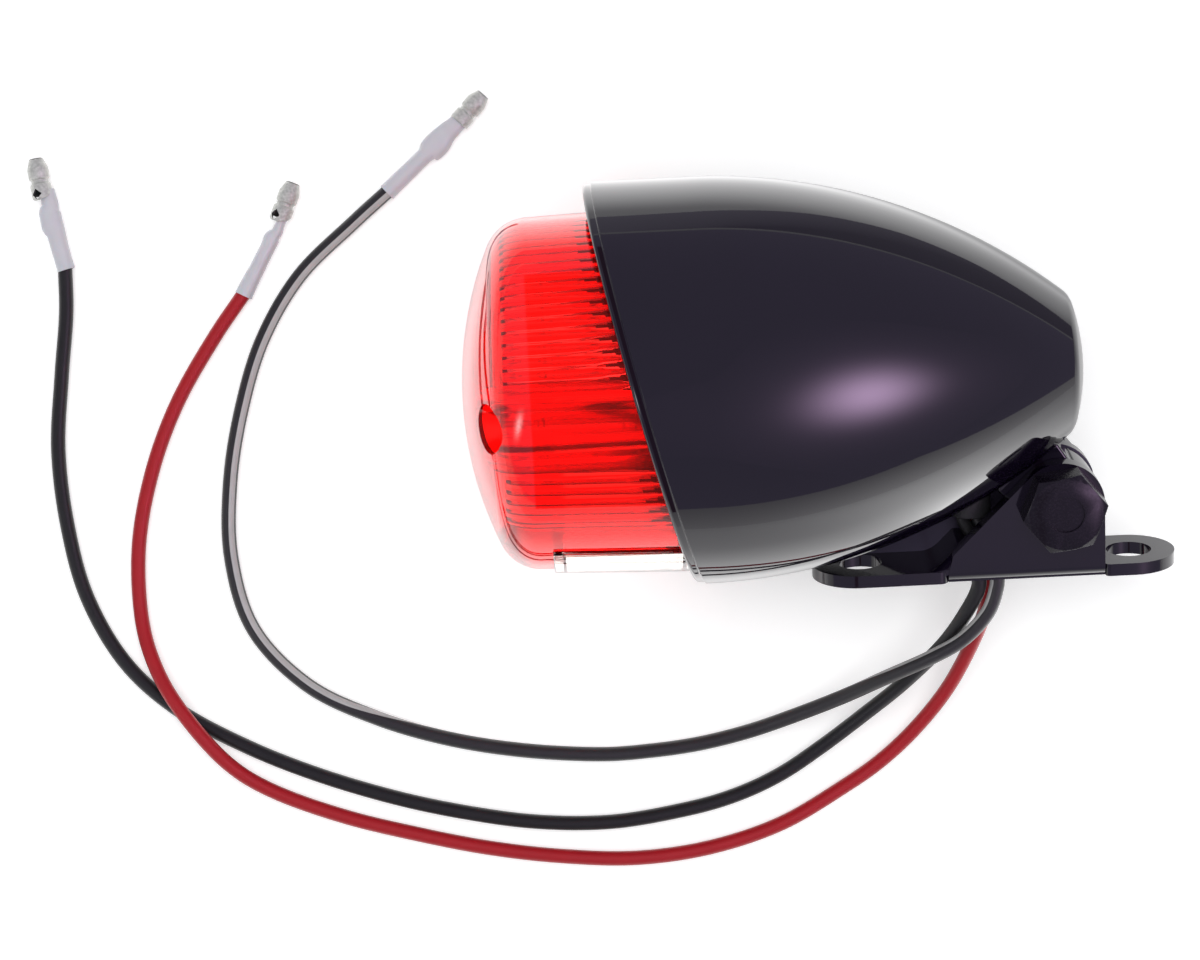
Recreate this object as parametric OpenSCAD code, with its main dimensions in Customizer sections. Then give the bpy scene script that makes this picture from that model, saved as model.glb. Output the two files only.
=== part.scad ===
// Bullet-shaped motorcycle tail light with a hinged foot bracket and three free wires.
// Millimetres, +Z up. The lamp lies on its side, rolled a little, on the plane z = 0.
// Row x runs along the lamp's own axis, from the lens (negative) to the nose (positive).
// Inside lamp(): x is the lamp's axis with 0 at the centre of its mouth, y is the lamp's
// own up, away from the foot, and z is its side that faces up here.

/* [Pose on the surface] */
// Roll of the lamp about its own axis
roll = 17; // [5:1:25]

/* [Housing] */
// Outer radius of the housing's straight front
housing_r = 35.7; // [34:0.1:37]
// Where the straight front ends and the taper starts
taper_x = 10; // [6:0.5:14]
// Radius of the arc that forms the taper
taper_r = 102.5; // [95:0.5:110]
// Radius of the blunt nose
nose_r = 36; // [30:1:42]
// Tip of the nose
nose_x = 77.5; // [76:0.5:80]
// Radius that blends the taper into the nose
nose_blend = 4; // [2:0.5:6]
// Wall of the housing
wall = 1.8; // [1.2:0.1:2.4]
// Slant of the mouth, its top further forward
mouth_slant = 13.6; // [8:0.2:16]
// Depth of the step that runs round the mouth
step_depth = 0.3; // [0.2:0.05:0.5]
// Width of that step
step_width = 1.6; // [1:0.1:2.5]

/* [Lens] */
// Front tip of the lens
lens_tip_x = -31.2; // [-33:0.1:-29]
// Radius of the lens where its front corner ends
lens_r = 30.9; // [30:0.1:31.2]
// How far the lens's own axis lies towards the foot from the lamp's
lens_drop = 0.95; // [0:0.05:1.2]
// How much the lens widens towards the mouth, in degrees
lens_taper = 1.9; // [0.5:0.1:2.5]
// Radius of the lens's shallow front dome
lens_dome_r = 64.2; // [55:0.5:75]
// Radius of the lens's front corner
lens_corner = 8; // [6:0.5:9]
// Wall of the lens at its front and at its top
lens_wall = 2.4; // [2:0.1:2.8]
// Wall of the lens on the foot's side, where the window is let in
lens_base = 5.9; // [3:0.1:6.4]
// Corner of the hollow inside the lens
hollow_corner = 7; // [4:0.5:8]
// Number of flutes inside the lens
flutes = 80; // [60:4:96]
// Depth of a flute
flute_depth = 0.7; // [0.4:0.1:0.9]
// Distance of each screw from the axis
screw_z = 24.5; // [23:0.5:25.5]
// Bore of each screw well
well_d = 8.2; // [7.5:0.1:8.4]
// Outer diameter of each screw well
well_boss_d = 14.4; // [13:0.2:14.8]
// Half the angle that the clear window covers
window_half = 44; // [38:1:46]
// Front edge of the clear window
window_x = -16.5; // [-18:0.5:-14]
// How far the window stands out of the lens
window_proud = 0.7; // [0.4:0.1:1]

/* [Bracket] */
// Hinge axis, along the lamp
hinge_x = 72.8; // [72:0.1:74]
// Hinge axis, below the lamp's axis
hinge_y = -23.7; // [-24.5:0.1:-23.5]
// Underside of the foot
foot_y = -37.2; // [-38:0.1:-37]
// Thickness of the foot
foot_t = 2.2; // [1.6:0.1:2.6]
// Spacing of the two foot holes
foot_pitch = 48; // [46:0.5:49]
// Rear foot hole
rear_hole_x = 85.7; // [85:0.1:87]
// Diameter of the foot holes
foot_hole_d = 8; // [6:0.5:9]
// Half the width of the foot, and the radius of its ends
foot_half = 8.1; // [7.9:0.1:9]
// Radius of the cheeks' tops
cheek_r = 7.6; // [7:0.1:7.6]
// Inner face of each cheek
cheek_in = 4.6; // [4.5:0.1:4.8]
// Outer face of each cheek
cheek_out = 7.9; // [7.4:0.1:7.9]
// Radius of the hinge lug on the housing
lug_r = 7.3; // [6.5:0.1:7.5]
// Half the width of the lug
lug_half = 4.4; // [4.2:0.1:4.4]
// Hinge bolt's diameter
bolt_d = 8; // [8:1:8]
// Size of the bolt head across its flats
bolt_af = 13; // [12:0.5:13]
// Height of the bolt head
bolt_head_h = 5.8; // [5.3:0.1:6]

/* [Wires] */
// Diameter of each wire
wire_d = 2.7; // [2:0.1:2.8]
// Diameter of the sleeve on each wire's end
sleeve_d = 3.4; // [3.2:0.1:3.6]
// Diameter of the bullet terminals
bullet_d = 4; // [3.6:0.1:4]
// Length of a bullet terminal
bullet_len = 6.9; // [6.5:0.1:8.5]

/* [Hidden] */
$fn = 64;
far = 200;
gap = 0.05;

// Places along the lamp: depths behind the mouth plane of what it clamps
flange_front = 1.2;
flange_back = 3.2;
gasket_back = 4.4;
plate_back = 5.6;
ledge_back = 8;
flange_r = 33.5;
ledge_r = 31;

// The lens's window behind its front edge
window_end_x = 8.4;
window_seat_r = 30;
window_plug_r = 25.6;
window_lip = 2;

// Screws that hold the lens
screw_d = 4;
screw_head_d = 7.4;
screw_head_h = 2.2;
screw_seat_x = 3;
screw_end_x = 28;
post_d = 9;
post_end_x = 30;

// Reflector bowl, bulb and socket
bowl_x = 12.8;
bowl_small_r = 12.4;
bowl_big_r = 24;
bowl_front_x = -2;
sheet = 1.2;
base_r = 7.5;
base_x = 14.6;
base_end_x = 33;
contact_x = 34.2;
glass_r = 12.5;
bulb_len = 52.5;
glass_x = contact_x - bulb_len + glass_r;
glass_wall = 0.7;
socket_r = 7.6;
socket_wall = 1.1;
socket_x = bowl_x + sheet;
socket_end_x = 46;
flange_out_r = 13;
rivet_z = 10.5;
pin_turn = 25;
carrier_r = 7.3;
carrier_x = contact_x + 0.4;
carrier_t = 2.4;
spring_wire_r = 0.45;
spring_r = 5.6;
spring_turns = 4;

// Wire outlets in the housing and in the foot
outlet_x = 57.6;
outlet_d = 7.2;
outlet_bore_d = 5.9;
outlet_y = -27;
grommet_top_y = -34;
grommet_proud = 0.3;
channel_x0 = 52;
channel_x1 = 64.5;
lead_r = 1.2;
// Each wire's bore through the foot's grommet: its x and z
bore_black = [58.7, 1.2];
bore_striped = [61.9, 1.6];
bore_red = [60.3, -1.9];
// Each wire's place in the housing's outlet: across and sideways
lead_pitch_r = 1.56;
leads = [[-lead_pitch_r * cos(30), lead_pitch_r / 2],
         [lead_pitch_r * cos(30), lead_pitch_r / 2],
         [0, -lead_pitch_r]];

// Free stretch of each wire over the surface, after it leaves the foot
rest_z = 1.4;
black_points = [
    [27.4, -38, 24.9], [25.5, -42, 22.5], [21.5, -48, 17.5], [14.5, -55, 11.5], [7, -61, 6.7],
    [-0.5, -66.5, 3.5], [-8.5, -71.5, 1.9], [-17, -75, rest_z], [-26.5, -77.2, rest_z],
    [-40, -78.8, rest_z], [-54, -78.1, rest_z], [-68, -75.5, rest_z], [-81, -72, rest_z],
    [-94.5, -67.2, rest_z], [-107, -61.5, rest_z], [-119, -54.3, rest_z],
    [-128.5, -45, rest_z], [-135, -32.5, rest_z], [-138, -19, rest_z], [-139, -5, rest_z],
    [-137.7, 8.7, rest_z], [-136.3, 20, 1.5], [-136.05, 29, 1.7]];
striped_points = [
    [30.6, -38, 25.4], [28.9, -42.6, 23.9], [24.6, -47.1, 22.1], [19, -50.2, 20],
    [11, -53.7, 15.5], [3, -57.3, 10], [-5.5, -60.5, 5.7], [-14, -63.2, 2.9],
    [-23, -65.1, 1.6], [-32, -66, rest_z], [-41.7, -66.2, rest_z], [-55.6, -64.8, rest_z],
    [-69.3, -62, rest_z], [-82.5, -57.5, rest_z], [-95, -50.8, rest_z],
    [-104.5, -40, rest_z], [-108, -26.5, rest_z], [-107.5, -12.5, rest_z],
    [-104.7, 1, rest_z], [-100.2, 13.6, rest_z], [-92.8, 25, rest_z], [-82.5, 34.2, 1.5],
    [-75.25, 40.15, 1.7]];
red_points = [
    [29.2, -38, 21.4], [29, -42.7, 18], [26.5, -49.5, 12.5], [22.5, -57, 7.3],
    [17, -63.8, 3.8], [10.7, -69.5, 2], [3.5, -74.2, rest_z], [-8.6, -80.6, rest_z],
    [-22, -84.4, rest_z], [-35.7, -85.7, rest_z], [-49.5, -84.7, rest_z],
    [-63, -82.5, rest_z], [-76.5, -79.2, rest_z], [-89.7, -75.3, rest_z],
    [-102.4, -70, 1.8], [-110.5, -64.2, 3.3], [-117.8, -55, 4.4], [-122.6, -46.4, 3.1],
    [-125.1, -36.6, 1.6], [-124.9, -23, rest_z], [-121.7, -9.5, rest_z],
    [-116.5, 2.7, rest_z], [-109.3, 14.1, 1.5], [-102.9, 22.6, 1.7]];
// Middle of each sleeve, the foot of each terminal, and the way that the terminal points
black_sleeve = [[-136.35, 31.4, 1.7], [-137.9, 35.3, 1.7], [-139, 40, 1.9]];
striped_sleeve = [[-73.2, 41.9, 1.7], [-69.2, 45.3, 1.7], [-64.2, 49.7, 1.9]];
red_sleeve = [[-101.7, 24.9, 1.7], [-99, 29.6, 1.7], [-96.7, 33.8, 1.9]];
black_foot = [-139.5, 42.1, 2];
striped_foot = [-62, 51.8, 2];
red_foot = [-95.8, 35.8, 2];
black_heading = 98;
striped_heading = 46;
red_heading = 67;
wire_rings = 27;
wire_sides = 8;
sleeve_rings = 8;
sleeve_sides = 12;

// Shapes worked out from the dimensions above
wire_r = wire_d / 2;
front_hole_x = rear_hole_x - foot_pitch;
ear_tip_x = rear_hole_x + foot_half;
mid_x = (lens_tip_x + ear_tip_x) / 2;
high_y = housing_r;
low_y = -foot_y * cos(roll) + foot_half * sin(roll);
axis_y = (low_y - high_y) / 2;
taper_c = [housing_r - taper_r, taper_x];
nose_c = [0, nose_x - nose_r];

// Point where two circles, given as [radius, x] centres, meet on the outer side
function meet(c1, r1, c2, r2) =
    let (d = norm(c2 - c1), u = (c2 - c1) / d, a = (r1 * r1 - r2 * r2 + d * d) / (2 * d),
         h = sqrt(r1 * r1 - a * a))
    c1 + a * u + h * [-u[1], u[0]];
function arc(c, r, a0, a1, n, first = 1) = [for (i = [first : n])
    let (a = a0 + (a1 - a0) * i / n) c + r * [cos(a), sin(a)]];
function bearing(v) = atan2(v[1], v[0]);

// Outline of the housing, as [radius, x]: straight front, taper, blend and nose
blend_c = meet(taper_c, taper_r - nose_blend, nose_c, nose_r - nose_blend);
taper_end = bearing(blend_c - taper_c);
nose_start = bearing(blend_c - nose_c);
function housing_outline(x0) = concat(
    [[0, x0], [housing_r, x0]],
    arc(taper_c, taper_r, 0, taper_end, 18, 0),
    arc(blend_c, nose_blend, taper_end, nose_start, 4),
    arc(nose_c, nose_r, nose_start, 90, 5));
cavity_corner = meet(taper_c, taper_r - wall, nose_c, nose_r - wall);
function cavity_outline(x0) = concat(
    [[0, x0], [housing_r - wall, x0]],
    arc(taper_c, taper_r - wall, 0, bearing(cavity_corner - taper_c), 14, 0),
    arc(nose_c, nose_r - wall, bearing(cavity_corner - nose_c), 90, 5));

// Outline of the lens or of its hollow, as [radius, x]: shallow dome, corner and side
function corner_x(tip, side, corner) =
    tip + lens_dome_r - sqrt(pow(lens_dome_r - corner, 2) - pow(side - corner, 2));
function side_at(x, side, corner_cx) = side + (x - corner_cx) * tan(lens_taper);
function lens_outline(tip, side, corner, x1) =
    let (cx = corner_x(tip, side, corner), cr = side - corner, dome_cx = tip + lens_dome_r,
         dome_end = atan2(cr, dome_cx - cx))
    concat(
        [for (i = [0 : 8]) let (a = dome_end * i / 8)
            [lens_dome_r * sin(a), dome_cx - lens_dome_r * cos(a)]],
        [for (i = [1 : 10]) let (a = dome_end + (90 + lens_taper - dome_end) * i / 10)
            [cr + corner * sin(a), cx - corner * cos(a)]],
        [[side_at(x1, side, cx), x1], [0, x1]]);
lens_cx = corner_x(lens_tip_x, lens_r, lens_corner);
hollow_tip_x = lens_tip_x + lens_wall;
hollow_r = lens_r - (lens_wall + lens_base) / 2;
hollow_y = (lens_base - lens_wall) / 2 - lens_drop;
hollow_cx = corner_x(hollow_tip_x, hollow_r, hollow_corner);

// A point of the lamp, carried to its place on the surface
function laid(p) = [p[0] - mid_x,
                    axis_y + p[1] * cos(roll) - p[2] * sin(roll),
                    housing_r + p[1] * sin(roll) + p[2] * cos(roll)];
module lamp() translate([-mid_x, axis_y, housing_r]) rotate([roll, 0, 0]) children();

// Solids of revolution and cylinders about the lamp's axis, and cuts along the mouth plane
module turned(outline) rotate([0, 90, 0]) rotate_extrude($fn = 96) polygon(outline);
module rod_x(r, x0, x1) translate([x0, 0, 0]) rotate([0, 90, 0]) cylinder(r = r, h = x1 - x0);
module mouth_slab(d0, d1) rotate([0, 0, mouth_slant]) translate([d0, -far / 2, -far / 2])
    cube([d1 - d0, far, far]);
module sector(half, x0, x1) translate([x0, 0, 0]) rotate([0, 90, 0])
    linear_extrude(x1 - x0)
        polygon([[0, 0], [-far * sin(half), -far * cos(half)], [far * sin(half), -far * cos(half)]]);

// Smooth curve through a list of points, and a tube swept along it
function pick(p, i) = p[max(0, min(len(p) - 1, i))];
function on_curve(p, u) =
    let (i = min(floor(u), len(p) - 2), t = u - i,
         a = i == 0 ? 2 * p[0] - p[1] : p[i - 1], b = p[i], c = p[i + 1],
         d = i + 2 > len(p) - 1 ? 2 * p[len(p) - 1] - p[len(p) - 2] : p[i + 2])
    0.5 * (2 * b + (c - a) * t + (2 * a - 5 * b + 4 * c - d) * t * t
           + (3 * b - a - 3 * c + d) * t * t * t);
function curve(p, n) = [for (i = [0 : n - 1]) on_curve(p, (len(p) - 1) * i / (n - 1))];
function unit(v) = v / norm(v);
function heading_at(p, i) = unit(pick(p, i + 1) - pick(p, i - 1));
function length_of(p, i = 0) = i >= len(p) - 1 ? 0 : norm(p[i + 1] - p[i]) + length_of(p, i + 1);
// widths holds a half width and a half height for each ring
module swept(p, widths, sides, upward = [0, 0, 1]) {
    n = len(p);
    points = [for (i = [0 : n - 1]) let (t = heading_at(p, i), s = unit(cross(t, upward)),
                                         w = cross(s, t))
        for (k = [0 : sides - 1]) let (a = 360 * (k + 0.5) / sides)
            p[i] + s * widths[i][0] * cos(a) + w * widths[i][1] * sin(a)];
    sides_faces = [for (i = [0 : n - 2]) for (k = [0 : sides - 1])
        let (a = i * sides + k, b = i * sides + (k + 1) % sides)
        each [[a, b, b + sides], [a, b + sides, a + sides]]];
    caps = [[for (k = [sides - 1 : -1 : 0]) k],
            [for (k = [0 : sides - 1]) (n - 1) * sides + k]];
    polyhedron(points, concat(sides_faces, caps), convexity = 10);
}
function even(n, r) = [for (i = [0 : n - 1]) [r, r]];

// Housing: the screws' posts stand against its wall on ribs, and the lug's neck grows from it
post_rib = 3;
module screw_posts() for (side = [-1, 1]) {
    translate([0, 0, side * screw_z]) rod_x(post_d / 2, 0, post_end_x);
    translate([flange_back, -post_rib / 2, side > 0 ? screw_z : -housing_r])
        cube([post_end_x - flange_back, post_rib, housing_r - screw_z]);
}
neck_front_a = 206;
neck_rear_a = 74;
neck_root = [[62, -21.6], [63, -16], [71, -11]];
function on_lug(a) = [hinge_x, hinge_y] + (lug_r - 0.1) * [cos(a), sin(a)];
module lug() translate([0, 0, -lug_half]) linear_extrude(2 * lug_half) {
    translate([hinge_x, hinge_y]) circle(lug_r);
    polygon(concat([on_lug(neck_front_a)], neck_root, [on_lug(neck_rear_a)]));
}
module housing_shell() color("#1c1a24") lamp() difference() {
    union() {
        difference() {
            union() {
                intersection() {
                    turned(housing_outline(-20));
                    mouth_slab(0, far / 2);
                }
                lug();
            }
            turned(cavity_outline(-40));
        }
        intersection() {
            mouth_slab(plate_back, ledge_back);
            turned([[ledge_r, -30], [housing_r - wall / 2, -30], [housing_r - wall / 2, 30],
                    [ledge_r, 30]]);
        }
        intersection() {
            screw_posts();
            mouth_slab(plate_back, far / 2);
            turned([for (p = housing_outline(-20)) [max(0, p[0] - wall / 2), p[1]]]);
        }
    }
    difference() {
        mouth_slab(-1, step_width);
        rod_x(housing_r - step_depth, -40, 40);
    }
    for (side = [-1, 1]) translate([0, 0, side * screw_z])
        rod_x(screw_d / 2, 0, screw_end_x + 1);
    translate([hinge_x, hinge_y, -far / 2]) cylinder(d = bolt_d + 2 * gap, h = far);
    translate([outlet_x, -15, 0]) rotate([90, 0, 0]) cylinder(d = outlet_d, h = 20);
}

// Lens with its inner flutes, flange and two screw wells
module lens_body() translate([0, -lens_drop, 0])
    turned(lens_outline(lens_tip_x, lens_r, lens_corner, 30));
module hollow() translate([0, hollow_y, 0])
    turned(lens_outline(hollow_tip_x, hollow_r, hollow_corner, 40));
module flute_bore() translate([hollow_cx - 1.5, hollow_y, 0]) rotate([0, 90, 0])
    linear_extrude(60) polygon([for (i = [0 : 2 * flutes - 1]) let (a = 180 * i / flutes)
        (hollow_r + (i % 2) * flute_depth) * [cos(a), sin(a)]]);
module lens() color("#e01515", 0.75) lamp() difference() {
    union() {
        difference() {
            intersection() {
                lens_body();
                mouth_slab(-far / 2, flange_back);
            }
            hollow();
            flute_bore();
        }
        intersection() {
            mouth_slab(flange_front, flange_back);
            turned([[lens_r - 1, -30], [flange_r, -30], [flange_r, 30], [lens_r - 1, 30]]);
        }
        intersection() {
            lens_body();
            mouth_slab(-far / 2, gasket_back);
            for (side = [-1, 1]) translate([0, 0, side * screw_z])
                rod_x(well_boss_d / 2, -40, 30);
        }
    }
    for (side = [-1, 1]) translate([0, 0, side * screw_z]) {
        rod_x(well_d / 2, -40, screw_seat_x);
        rod_x(screw_d / 2 + 0.2, -40, 40);
    }
    translate([0, -lens_drop, 0]) {
        intersection() {
            sector(window_half, window_x, window_end_x);
            turned([[window_seat_r, -40], [40, -40], [40, 40], [window_seat_r, 40]]);
        }
        intersection() {
            sector(window_half - 3, window_x + window_lip, window_end_x - window_lip);
            turned([[20, -40], [40, -40], [40, 40], [20, 40]]);
        }
    }
}
window_r0 = side_at(window_x, lens_r, lens_cx) + window_proud;
window_r1 = side_at(window_end_x, lens_r, lens_cx) + window_proud;
module plate_window() color("#f4efe8", 0.6) lamp() translate([0, -lens_drop, 0]) {
    intersection() {
        sector(window_half - 0.1, window_x + gap, window_end_x - gap);
        turned([[window_seat_r, window_x], [window_r0, window_x], [window_r1, window_end_x],
                [window_seat_r, window_end_x]]);
    }
    intersection() {
        sector(window_half - 3.1, window_x + window_lip + gap, window_end_x - window_lip - gap);
        turned([[window_plug_r, -40], [window_seat_r + gap, -40], [window_seat_r + gap, 40],
                [window_plug_r, 40]]);
    }
}
module lens_gasket() color("#2b2b2b") lamp() difference() {
    intersection() {
        mouth_slab(flange_back, gasket_back);
        rod_x(flange_r - 0.1, -40, 40);
    }
    rod_x(lens_r - 1.3, -41, 41);
    for (side = [-1, 1]) translate([0, 0, side * screw_z])
        rod_x(well_boss_d / 2 + gap, -40, 40);
}
cross_len = 3.2;
cross_w = 0.8;
cross_depth = 1.2;
module lens_screws() color("#c9c9cc") lamp()
    for (side = [-1, 1]) translate([0, 0, side * screw_z]) difference() {
        union() {
            rod_x(screw_head_d / 2, screw_seat_x - screw_head_h, screw_seat_x);
            rod_x(screw_d / 2 - gap, screw_seat_x - gap, screw_end_x);
        }
        for (turn = [0, 90]) rotate([turn, 0, 0])
            translate([screw_seat_x - screw_head_h - 1, -cross_len / 2, -cross_w / 2])
                cube([1 + cross_depth, cross_len, cross_w]);
    }

// Reflector plate with its bowl
function bowl_r(x) = bowl_small_r + (bowl_x - x) * (bowl_big_r - bowl_small_r)
                     / (bowl_x - bowl_front_x);
module reflector() color("#e8e8ea") lamp() difference() {
    union() {
        intersection() {
            mouth_slab(gasket_back, plate_back);
            rod_x(flange_r, -40, 40);
        }
        intersection() {
            mouth_slab(gasket_back, far / 2);
            turned([[0, -10], [bowl_r(-10) + sheet, -10], [bowl_small_r + sheet, bowl_x],
                    [bowl_small_r + sheet, bowl_x + sheet], [0, bowl_x + sheet]]);
        }
    }
    turned([[0, -30], [bowl_r(-30), -30], [bowl_small_r, bowl_x], [0, bowl_x]]);
    rod_x(base_r + 0.5, 0, 40);
    for (side = [-1, 1]) {
        translate([0, 0, side * screw_z]) rod_x(screw_d / 2 + 0.2, -20, 40);
        translate([0, 0, side * rivet_z]) rod_x(rivet_r + gap, 0, 40);
    }
}

// Bayonet socket: flange, tube with its two offset bayonet slots, and rear cap
pin_x = [24.5, 27.5];
pin_r = 1;
slot_w = 2.6;
slot_a = 9.5;
cap_wall = 1;
cap_bore_r = 3.2;
rivet_r = 1.2;
rivet_head_r = 1.6;
rivet_head_h = 0.6;
module bulb_socket() color("#d8d4c8") lamp() difference() {
    union() {
        rod_x(flange_out_r, socket_x, socket_x + sheet);
        rod_x(socket_r + socket_wall, socket_x, socket_end_x);
    }
    rod_x(socket_r, socket_x - 1, socket_end_x - cap_wall);
    rod_x(cap_bore_r, socket_x, socket_end_x + 1);
    for (side = [0, 1]) rotate([180 * side, 0, 0]) {
        translate([socket_x - 1, 0, -slot_w / 2]) cube([pin_x[side] + 1 - socket_x, 20, slot_w]);
        translate([pin_x[side] - slot_w / 2, 0, 0]) rotate([0, 90, 0]) linear_extrude(slot_w)
            polygon([[0, 0], for (a = [-slot_a, pin_turn + slot_a]) far * [-sin(a), cos(a)]]);
    }
    for (side = [-1, 1]) translate([0, 0, side * rivet_z]) rod_x(rivet_r + gap, 0, 40);
}
module socket_rivets() color("#b9b9bd") lamp()
    for (side = [-1, 1]) translate([0, 0, side * rivet_z]) {
        rod_x(rivet_r, bowl_x - gap, socket_x + sheet + gap);
        rod_x(rivet_head_r, bowl_x - rivet_head_h, bowl_x);
        rod_x(rivet_head_r, socket_x + sheet, socket_x + sheet + rivet_head_h);
    }

// Sprung carrier with the two contacts that press on the bulb's own
contact_z = 3;
contact_head_r = 2;
contact_shank_r = 1.35;
hub_r = 4;
hub_t = 2;
module contact_carrier() color("#7a4a2a") lamp() difference() {
    union() {
        rod_x(carrier_r, carrier_x, carrier_x + carrier_t);
        rod_x(hub_r, carrier_x, carrier_x + carrier_t + hub_t);
    }
    for (side = [-1, 1]) translate([0, 0, side * contact_z])
        rod_x(contact_shank_r + gap, 0, 60);
}
module contact_pins() color("#c8a24a") lamp()
    for (side = [-1, 1]) translate([0, 0, side * contact_z]) {
        rod_x(contact_shank_r, contact_x + 0.3, carrier_x + carrier_t + hub_t + 0.6);
        rod_x(contact_head_r, contact_x, carrier_x);
    }
spring_x0 = carrier_x + carrier_t + spring_wire_r + gap;
spring_x1 = socket_end_x - 1 - spring_wire_r - gap;
function spring_point(t) = [spring_x0 + (spring_x1 - spring_x0) * t,
                            spring_r * cos(360 * spring_turns * t),
                            spring_r * sin(360 * spring_turns * t)];
spring_pitch = (spring_x1 - spring_x0) / spring_turns;
echo(spring_gap = spring_pitch - 2 * spring_wire_r);
module contact_spring() color("#b0b4b8") lamp()
    swept([for (i = [0 : 8 * spring_turns]) spring_point(i / (8 * spring_turns))],
          even(8 * spring_turns + 1, spring_wire_r), 6, [1, 0, 0]);

// Bulb with two filaments and a bayonet base
neck_r = 6.9;
neck_a = asin(neck_r / glass_r);
module bulb_glass() color("#eef2f4", 0.35) lamp() turned(concat(
    [for (i = [0 : 14]) let (a = (180 - neck_a) * i / 14)
        [glass_r * sin(a), glass_x - glass_r * cos(a)]],
    [[neck_r, base_x + 5], [neck_r - glass_wall, base_x + 5]],
    [for (i = [14 : -1 : 0]) let (a = (180 - neck_a) * i / 14)
        [(glass_r - glass_wall) * sin(a), glass_x - (glass_r - glass_wall) * cos(a)]]));
module bulb_base() color("#cdb15a") lamp() {
    difference() {
        union() {
            rod_x(base_r, base_x, base_end_x);
            for (side = [0, 1]) rotate([180 * side + pin_turn, 0, 0])
                translate([pin_x[side], 0, 0]) rotate([-90, 0, 0])
                    cylinder(r = pin_r, h = base_r + 1);
        }
        rod_x(base_r - 0.5, base_x - 1, base_end_x - 1.5);
    }
    for (side = [-1, 1]) translate([0, 0, side * contact_z])
        rod_x(1.5, base_end_x - gap, contact_x);
}
// Glass stem that flares into the base, with two crossbars on their supports
stem_tip_x = 4;
module bulb_stem() color("#dfe6e8", 0.5) lamp()
    turned([[0, stem_tip_x], [2.2, stem_tip_x], [2.4, 20], [6.1, 30], [6.1, 31], [0, 31]]);
filament_x = [-8, -4.5];
filament_y = 1.6;
support_z = 2.6;
support_lean = [5, 7];
module bulb_filaments() color("#8d8d90") lamp()
    for (k = [0, 1]) let (y = filament_y * (1 - 2 * k)) {
        translate([filament_x[k], y, -support_z - 0.4]) cylinder(r = 0.45, h = 2 * support_z + 0.8);
        for (side = [-1, 1]) translate([0, y, side * support_z])
            rotate([0, side * support_lean[k], 0]) rod_x(0.25, filament_x[k], stem_tip_x + 0.6);
    }

// Wire outlet of the housing, and the leads inside the lamp and across the hinge
outlet_wall_y = -18;
collar_r = 4.6;
collar_t = 1.2;
module housing_grommet() color("#242424") lamp() translate([outlet_x, 0, 0])
    rotate([90, 0, 0]) difference() {
        union() {
            translate([0, 0, -outlet_wall_y])
                cylinder(d = outlet_d - 2 * gap, h = outlet_wall_y - outlet_y);
            translate([0, 0, -outlet_wall_y - 1]) cylinder(r = collar_r, h = collar_t);
        }
        translate([0, 0, 10]) cylinder(d = outlet_bore_d, h = 30);
    }
module inner_leads() for (k = [0 : 2]) let (u = leads[k][0], v = leads[k][1])
    color(["#2d2d2d", "#3a3a3a", "#a5232d"][k])
    swept([for (p = [[socket_end_x, u, v], [50, u, v], [54.5 + 0.8 * u, -2.5 + 0.6 * u, v],
                     [outlet_x + u, -9, v], [outlet_x + u, -17, v], [outlet_x + u, outlet_y, v]])
           laid(p)], even(6, lead_r), wire_sides, unit(laid([0, 0, 1]) - laid([0, 0, 0])));
bores = [bore_black, bore_striped, bore_red];
module joint_leads() for (k = [0 : 2])
    let (u = leads[k][0], v = leads[k][1], x0 = outlet_x + u, x1 = bores[k][0], z1 = bores[k][1],
         drop = outlet_y - grommet_top_y)
    color(["#2d2d2d", "#3a3a3a", "#a5232d"][k])
    swept([for (step = [[0, 0], [0.15, 0], [0.35, 0.2], [0.65, 0.8], [0.85, 1], [1, 1]])
           let (t = step[0], s = step[1])
           laid([x0 + (x1 - x0) * s, outlet_y - drop * t, v + (z1 - v) * s])],
          even(6, lead_r), wire_sides, unit(laid([0, 0, 1]) - laid([0, 0, 0])));

// Hinged foot bracket
cheek_rear_x = hinge_x + cheek_r;
foot_top_y = foot_y + foot_t;
edge_x = hinge_x - cheek_r * cos(45);
edge_y = hinge_y + cheek_r * sin(45);
fillet = 6;
fillet_x = edge_x - (edge_y - foot_top_y) - fillet * tan(22.5);
// The far cheek's edge runs straight from over the front hole to the hinge
gusset_r = 6.9;
reach = norm([hinge_x - front_hole_x, hinge_y - foot_top_y]);
gusset_a = atan2(hinge_y - foot_top_y, hinge_x - front_hole_x) + asin(gusset_r / reach);
module cheek_outline() {
    translate([hinge_x, hinge_y]) circle(cheek_r);
    difference() {
        polygon([[fillet_x, foot_y], [cheek_rear_x, foot_y], [cheek_rear_x, hinge_y],
                 [hinge_x, hinge_y], [edge_x, edge_y],
                 [fillet_x + fillet * sin(45), foot_top_y + fillet * (1 - cos(45))],
                 [fillet_x, foot_top_y]]);
        translate([fillet_x, foot_top_y + fillet]) circle(fillet);
    }
}
module gusset_outline() polygon([
    [front_hole_x, foot_y], [hinge_x, foot_y], [hinge_x, hinge_y],
    [hinge_x - gusset_r * sin(gusset_a), hinge_y + gusset_r * cos(gusset_a)],
    [front_hole_x, foot_top_y]]);
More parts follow.
